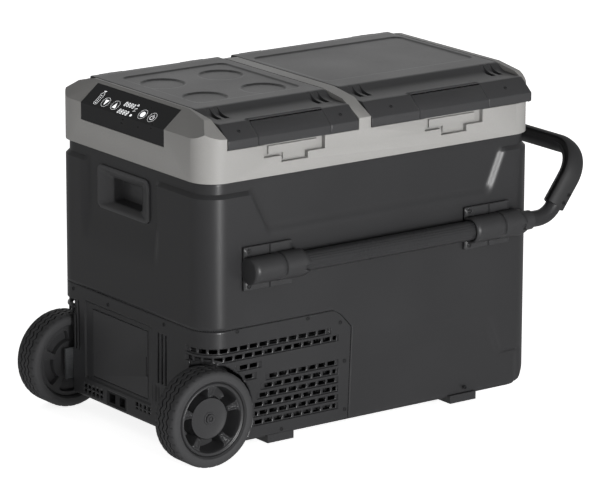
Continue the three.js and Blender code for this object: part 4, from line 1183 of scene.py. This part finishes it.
# how far out the two ends' caps stand and how much they are drawn in
CAP_OUT = 0.8
CAP_SHARE = 0.93
along_arm = np.array([math.cos(ARM), 0.0, math.sin(ARM)])
across_arm = np.array([-math.sin(ARM), 0.0, math.cos(ARM)])


def grip_path():
    """Up one arm, round a quarter circle, across the bar and down the other arm: points and the
    directions of travel, all in one plane."""
    turn = np.linspace(0, math.pi / 2, 25)
    start = ARM_START + [0, -RAIL_Y, 0]
    bend = GRIP_CORNER + [0, -RAIL_Y + GRIP_BEND, 0] - along_arm * GRIP_BEND
    side = np.array([0.0, 1.0, 0.0])
    arc = bend + GRIP_BEND * (np.sin(turn)[:, None] * along_arm - np.cos(turn)[:, None] * side)
    heading = np.cos(turn)[:, None] * along_arm + np.sin(turn)[:, None] * side
    points = np.concatenate([[start, start + along_arm * 2, start + along_arm * 30], arc])
    heading = np.concatenate([[along_arm] * 3, heading])
    back = points[::-1] * [1, -1, 1]
    back_heading = heading[::-1] * [-1, 1, -1]
    return np.concatenate([points, back]), np.concatenate([heading, back_heading])


def grip_mesh():
    """A fattened oval, each half-axis times a cosine or sine to a power below 1, swept along the
    path; its inner side is let in by a smooth channel, and the two ends are drawn in and capped."""
    points, heading = grip_path()
    turn = full_turn(72)
    wide = GRIP_WIDE * np.sign(np.cos(turn)) * np.abs(np.cos(turn)) ** OVAL_POWER
    thick = GRIP_THICK * np.sign(np.sin(turn)) * np.abs(np.sin(turn)) ** OVAL_POWER
    wide = wide - CHANNEL_DEPTH * step(5.2 - np.abs(thick), 0, 1.6) * (wide > 0)
    sideways = np.cross(heading, across_arm)
    grid = points[:, None] + wide[:, None] * across_arm + thick[:, None] * sideways[:, None]
    hearts = [points[0] - heading[0] * CAP_OUT, points[-1] + heading[-1] * CAP_OUT]
    first = hearts[0] + (grid[0] - points[0]) * CAP_SHARE
    last = hearts[1] + (grid[-1] - points[-1]) * CAP_SHARE
    poles = [np.repeat(heart[None], len(turn), 0) for heart in hearts]
    grid = np.concatenate([[poles[0]], [first], grid, [last], [poles[1]]])
    return metres(*np.moveaxis(grid, -1, 0)), quads(*grid.shape[:2], around=True)


soft_finish = moulded("soft_grip", (34, 34, 35), 0.6, 1.25, 1.3)
made("handle_grip", *grip_mesh(), soft_finish, "pull_handle", ["grip_cover"], "grip_rubber",
     closed=True)
grip_screws = []
for way in (-1, 1):
    for reach, off in ((9.0, -6.0), (24.0, -8.0)):
        spot = ARM_START + along_arm * reach + across_arm * off
        spot = spot + [0, way * (RAIL_Y + GRIP_THICK + 0.4), 0]
        grip_screws.append(screw_head(spot, (0, way, 0), 2.6))
made("grip_screws", *joined(grip_screws), steel_black, "pull_handle", closed=True, slot="steel")

# ---------------------------------------------------------------- wheels
# Two rubber tyres with zig-zag tread, each pressed on a five-spoke nylon rim that turns on a
# steel stub axle behind a round hub cap.
WHEEL_Y = 189.0
TYRE_R = 73.5
WAVES = 34
GROOVES = (-9.75, 0.0, 9.75)
GROOVE_HALF = 1.3
GROOVE_DEPTH = 2.6
# the tyre's shoulder below its round edge: sidewall, bead and the seat on the rim
SIDEWALL = [(62, 25.6), (59.4, 24.9), (58.2, 23.6), (57.6, 22.4), (57.2, 22.2), (56.9, 21.4),
            (56.4, 20)]
RIM_R = 56.0
RIM_STEPS = 360
RIM_FRONT = 20.4
RIM_BACK = -17.4
WINDOW_FLOOR = -9.0
DISC_BACK = -18.0
BACK_WINDOW = 7.0


def round_grid(radius, offset, turn, way, extra=0.0):
    """Points about the axle: radius and sideways offset per row, angle per column."""
    reach = radius[:, None] + extra
    x = WHEEL_X + reach * np.cos(turn)
    z = WHEEL_Z + reach * np.sin(turn)
    return metres(x, way * np.broadcast_to(offset, x.shape), z)


def tyre_grid(way):
    """A closed section turned about the axle: the tread's rows sway sideways as a triangle wave,
    three of its bands are sunk as grooves, and its edges are notched once a wave."""
    turn = full_turn(WAVES * 10)
    lanes = spaced([-18, -11.6, -10.9, -8.6, -7.9, -1.9, -1.2,
                    1.2, 1.9, 7.9, 8.6, 10.9, 11.6, 18], 3)
    shoulder = np.radians(np.linspace(90, 0, 8))[1:]
    right = np.stack([65.5 + 8 * np.sin(shoulder), 18 + 7.5 * np.cos(shoulder)], 1)
    right = np.concatenate([right, SIDEWALL])
    tread = np.stack([np.full(len(lanes), TYRE_R), lanes], 1)
    loop = np.concatenate([(right * [1, -1])[::-1], tread, right, [(56.4, -20)]])
    sway = 2.1 * (2 * np.abs((turn * WAVES / (2 * np.pi)) % 1 * 2 - 1) - 1)
    hold = np.clip((19.5 - np.abs(loop[:, 1])) / 6, 0, 1) * (loop[:, 0] > 70)
    offset = WHEEL_Y + loop[:, 1][:, None] + hold[:, None] * sway
    bands = np.any([np.abs(loop[:, 1] - groove) < GROOVE_HALF for groove in GROOVES], axis=0)
    sink = np.where(bands & (loop[:, 0] > 70), -GROOVE_DEPTH, 0.0)[:, None]
    block = 1.2 * step(np.cos(turn * WAVES), 0.75, 0.95)
    edge = ((np.abs(loop[:, 1]) > 17) & (np.abs(loop[:, 1]) < 22) & (loop[:, 0] > 69))[:, None]
    grid = round_grid(loop[:, 0], offset, turn, way, sink - block * edge)
    return np.concatenate([grid, grid[:1]])


def rim_grid(way):
    """A wheel disc as a height over radius and angle: hub floor, ribbed spokes, deep windows with
    rounded corners and a lipped ring; the back is a plainer copy, joined at the ring."""
    turn = full_turn(RIM_STEPS)
    front = spaced([6.5, 30, 32.2, 33.4, 36, 45, 49.5, 51, 53.2, 54.2, RIM_R - 0.6], 0.9)
    radius = front[:, None]
    spoke = (turn - math.pi / 2 + math.radians(36)) % math.radians(72) - math.radians(36)
    side = np.abs(np.sin(spoke)) * radius
    half = 4.2 + 0.2 * (radius - 33)
    gap = np.minimum(side - half, np.minimum(radius - 32.8, 49.6 - radius))
    corner = np.hypot(np.maximum(4 - (side - half), 0), np.maximum(4 - (49.6 - radius), 0))
    gap = np.where((side - half < 4) & (49.6 - radius < 4), 4 - corner, gap)
    window = step(gap, -0.2, 1.3)
    face = np.interp(radius, [0, 31.8, 32.6, 34, 47, 49.8, 51.4, 54.6, RIM_R - 0.6],
                     [6.0, 6.0, 14.5, 15.5, 19.5, 20.0, 22.6, 22.6, 21.4])
    ridge = 1.5 * np.exp(-((side - half + 2.0) / 0.9) ** 2) * step(radius, 33, 35)
    ridge = ridge * step(-radius, -49, -47.5)
    dish = -1.6 * step(half - 3.2 - side, 0, 1.5) * step(radius, 35, 37) * step(-radius, -48, -46)
    ring_line = -0.8 * np.exp(-((radius - 52.8) / 0.5) ** 2)
    height = face + (ridge + dish) * (1 - window) + ring_line
    height = height * (1 - window) + window * WINDOW_FLOOR
    back_face = DISC_BACK + BACK_WINDOW * window
    rows = np.concatenate([front, [RIM_R, RIM_R], front[::-1]])
    edge = np.array([[RIM_FRONT], [RIM_BACK]]) + 0 * turn
    offsets = np.concatenate([height, edge, back_face[::-1]])
    grid = round_grid(rows, WHEEL_Y + offsets, turn, way)
    return np.concatenate([grid, grid[:1]])


def turned(profile, way, steps=64):
    """A profile of radius and sideways offset turned about the axle."""
    profile = np.array(profile, float)
    grid = round_grid(profile[:, 0], profile[:, 1:], full_turn(steps), way)
    return grid, quads(*grid.shape[:2], around=True)


tyre_finish = moulded("tyre_rubber", (42, 42, 43), 0.72, 1.5, 1.6)
rim_finish = moulded("rim_nylon", (42, 42, 43), 0.42)
# radius and offset from the cabinet's middle, from the button in the cap's middle to its back
HUB = [(0, 205.4), (2.2, 205.4), (2.6, 204.4), (3.4, 204.4), (4.2, 206.2), (6.2, 206.4),
       (7.0, 205.6), (7.2, 203.4), (9.4, 203.2), (9.8, 202.4), (28.4, 202), (29.4, 202.4),
       (30.6, 202.2), (31.2, 201.4), (31.2, 195.6), (0, 195.6)]
for side, way in SIDES:
    grid = tyre_grid(way)
    made(f"tyre_ring_{side}", grid, quads(*grid.shape[:2], around=True), tyre_finish,
         f"wheel_{side}", [f"tyre_{side}"], "tyre", closed=True)
    grid = rim_grid(way)
    made(f"rim_disc_{side}", grid, quads(*grid.shape[:2], around=True), rim_finish,
         f"wheel_{side}", [f"rim_{side}"], "wheel_plastic", closed=True)
    made(f"hub_cover_{side}", *turned(HUB, way), rim_finish, f"wheel_{side}",
         [f"hub_cap_{side}"], "wheel_plastic", closed=True)
    painted(bright_steel, f"axle_{side}")

# ---------------------------------------------------------------- machine parts behind the louvres
# Painted metal and moulded parts in the bay, the circuit board, the poured foam between the
# case and the liners, and the cold plates on the liners.
# the foam's lower right corner is cut back to stay inside the case
FOAM_CORNER_X = 283.0
FOAM_CORNER_Z = 40.0
FOAM_RAISED = 66.0
# One near-black finish for the bay's parts: partly their own dark colour, partly painted shade for
# the dark bay seen through the louvres.
bay_dark_painted_shade = moulded("bay_black_painted_shade", (22, 22, 23), 0.7)
painted(bay_dark_painted_shade, "bay_bulkhead", "condenser", "fan_shroud", "fan_rotor", "compressor",
        "battery_pack", "power_board", "discharge_pipe")
foam_finish = moulded("insulation", (222, 208, 160), 0.9)
foam = dressed("insulation_foam", "foam_block", foam_finish, 0.0)
for vertex in foam.data.vertices:
    in_corner = vertex.co.x > MIDDLE_X + FOAM_CORNER_X / 1000
    if in_corner and vertex.co.z < FOAM_CORNER_Z / 1000:
        vertex.co.z = FOAM_RAISED / 1000
plate_finish = bare_metal("brushed_plate", (165, 167, 170), (205, 207, 210), 0.9, 0.35,
                          0.04, 0.8, 4.0)
painted(plate_finish, "evaporator_left", "evaporator_right")
board_finish = moulded("board_green", (32, 84, 58), 0.45)
painted(board_finish, "control_board")

# ---------------------------------------------------------------- cover, case and lip screws
# Small blackened screws, sunk in their own rims, that hold the cover and the case together
# and fix each lid's slanted lip.
COVER_SCREWS = [(-251, 197), (-123, 196), (-63, 180), (-55, 119), (-54, 43), (-171, 33), (176, 37)]
END_SCREWS = [(154.6, 192), (59, 188), (-92, 192)]
COVER_SCREW_R = 2.9
LIP_SCREWS = (("left", (-240.5, -57.0)), ("right", (37.0, 255.0)))
LIP_SCREW_R = 2.3
LIP_PLACE = (-189.0, 495.8)
LIP_NORMAL = (0.0, -0.636, 0.772)
heads = [screw_head((x, way * (HALF_Y + 0.1), z), (0, way, 0), COVER_SCREW_R)
         for way in (-1, 1) for x, z in COVER_SCREWS]
heads += [screw_head((-HALF_X - 0.1, y, z), (-1, 0, 0), COVER_SCREW_R) for y, z in END_SCREWS]
made("case_screws", *joined(heads), steel_black, "cabinet", closed=True, slot="steel")
for side, places in LIP_SCREWS:
    heads = [screw_head((at, *LIP_PLACE), LIP_NORMAL, LIP_SCREW_R) for at in places]
    made(f"lip_screws_{side}", *joined(heads), steel_black, f"lid_{side}", closed=True,
         slot="steel")
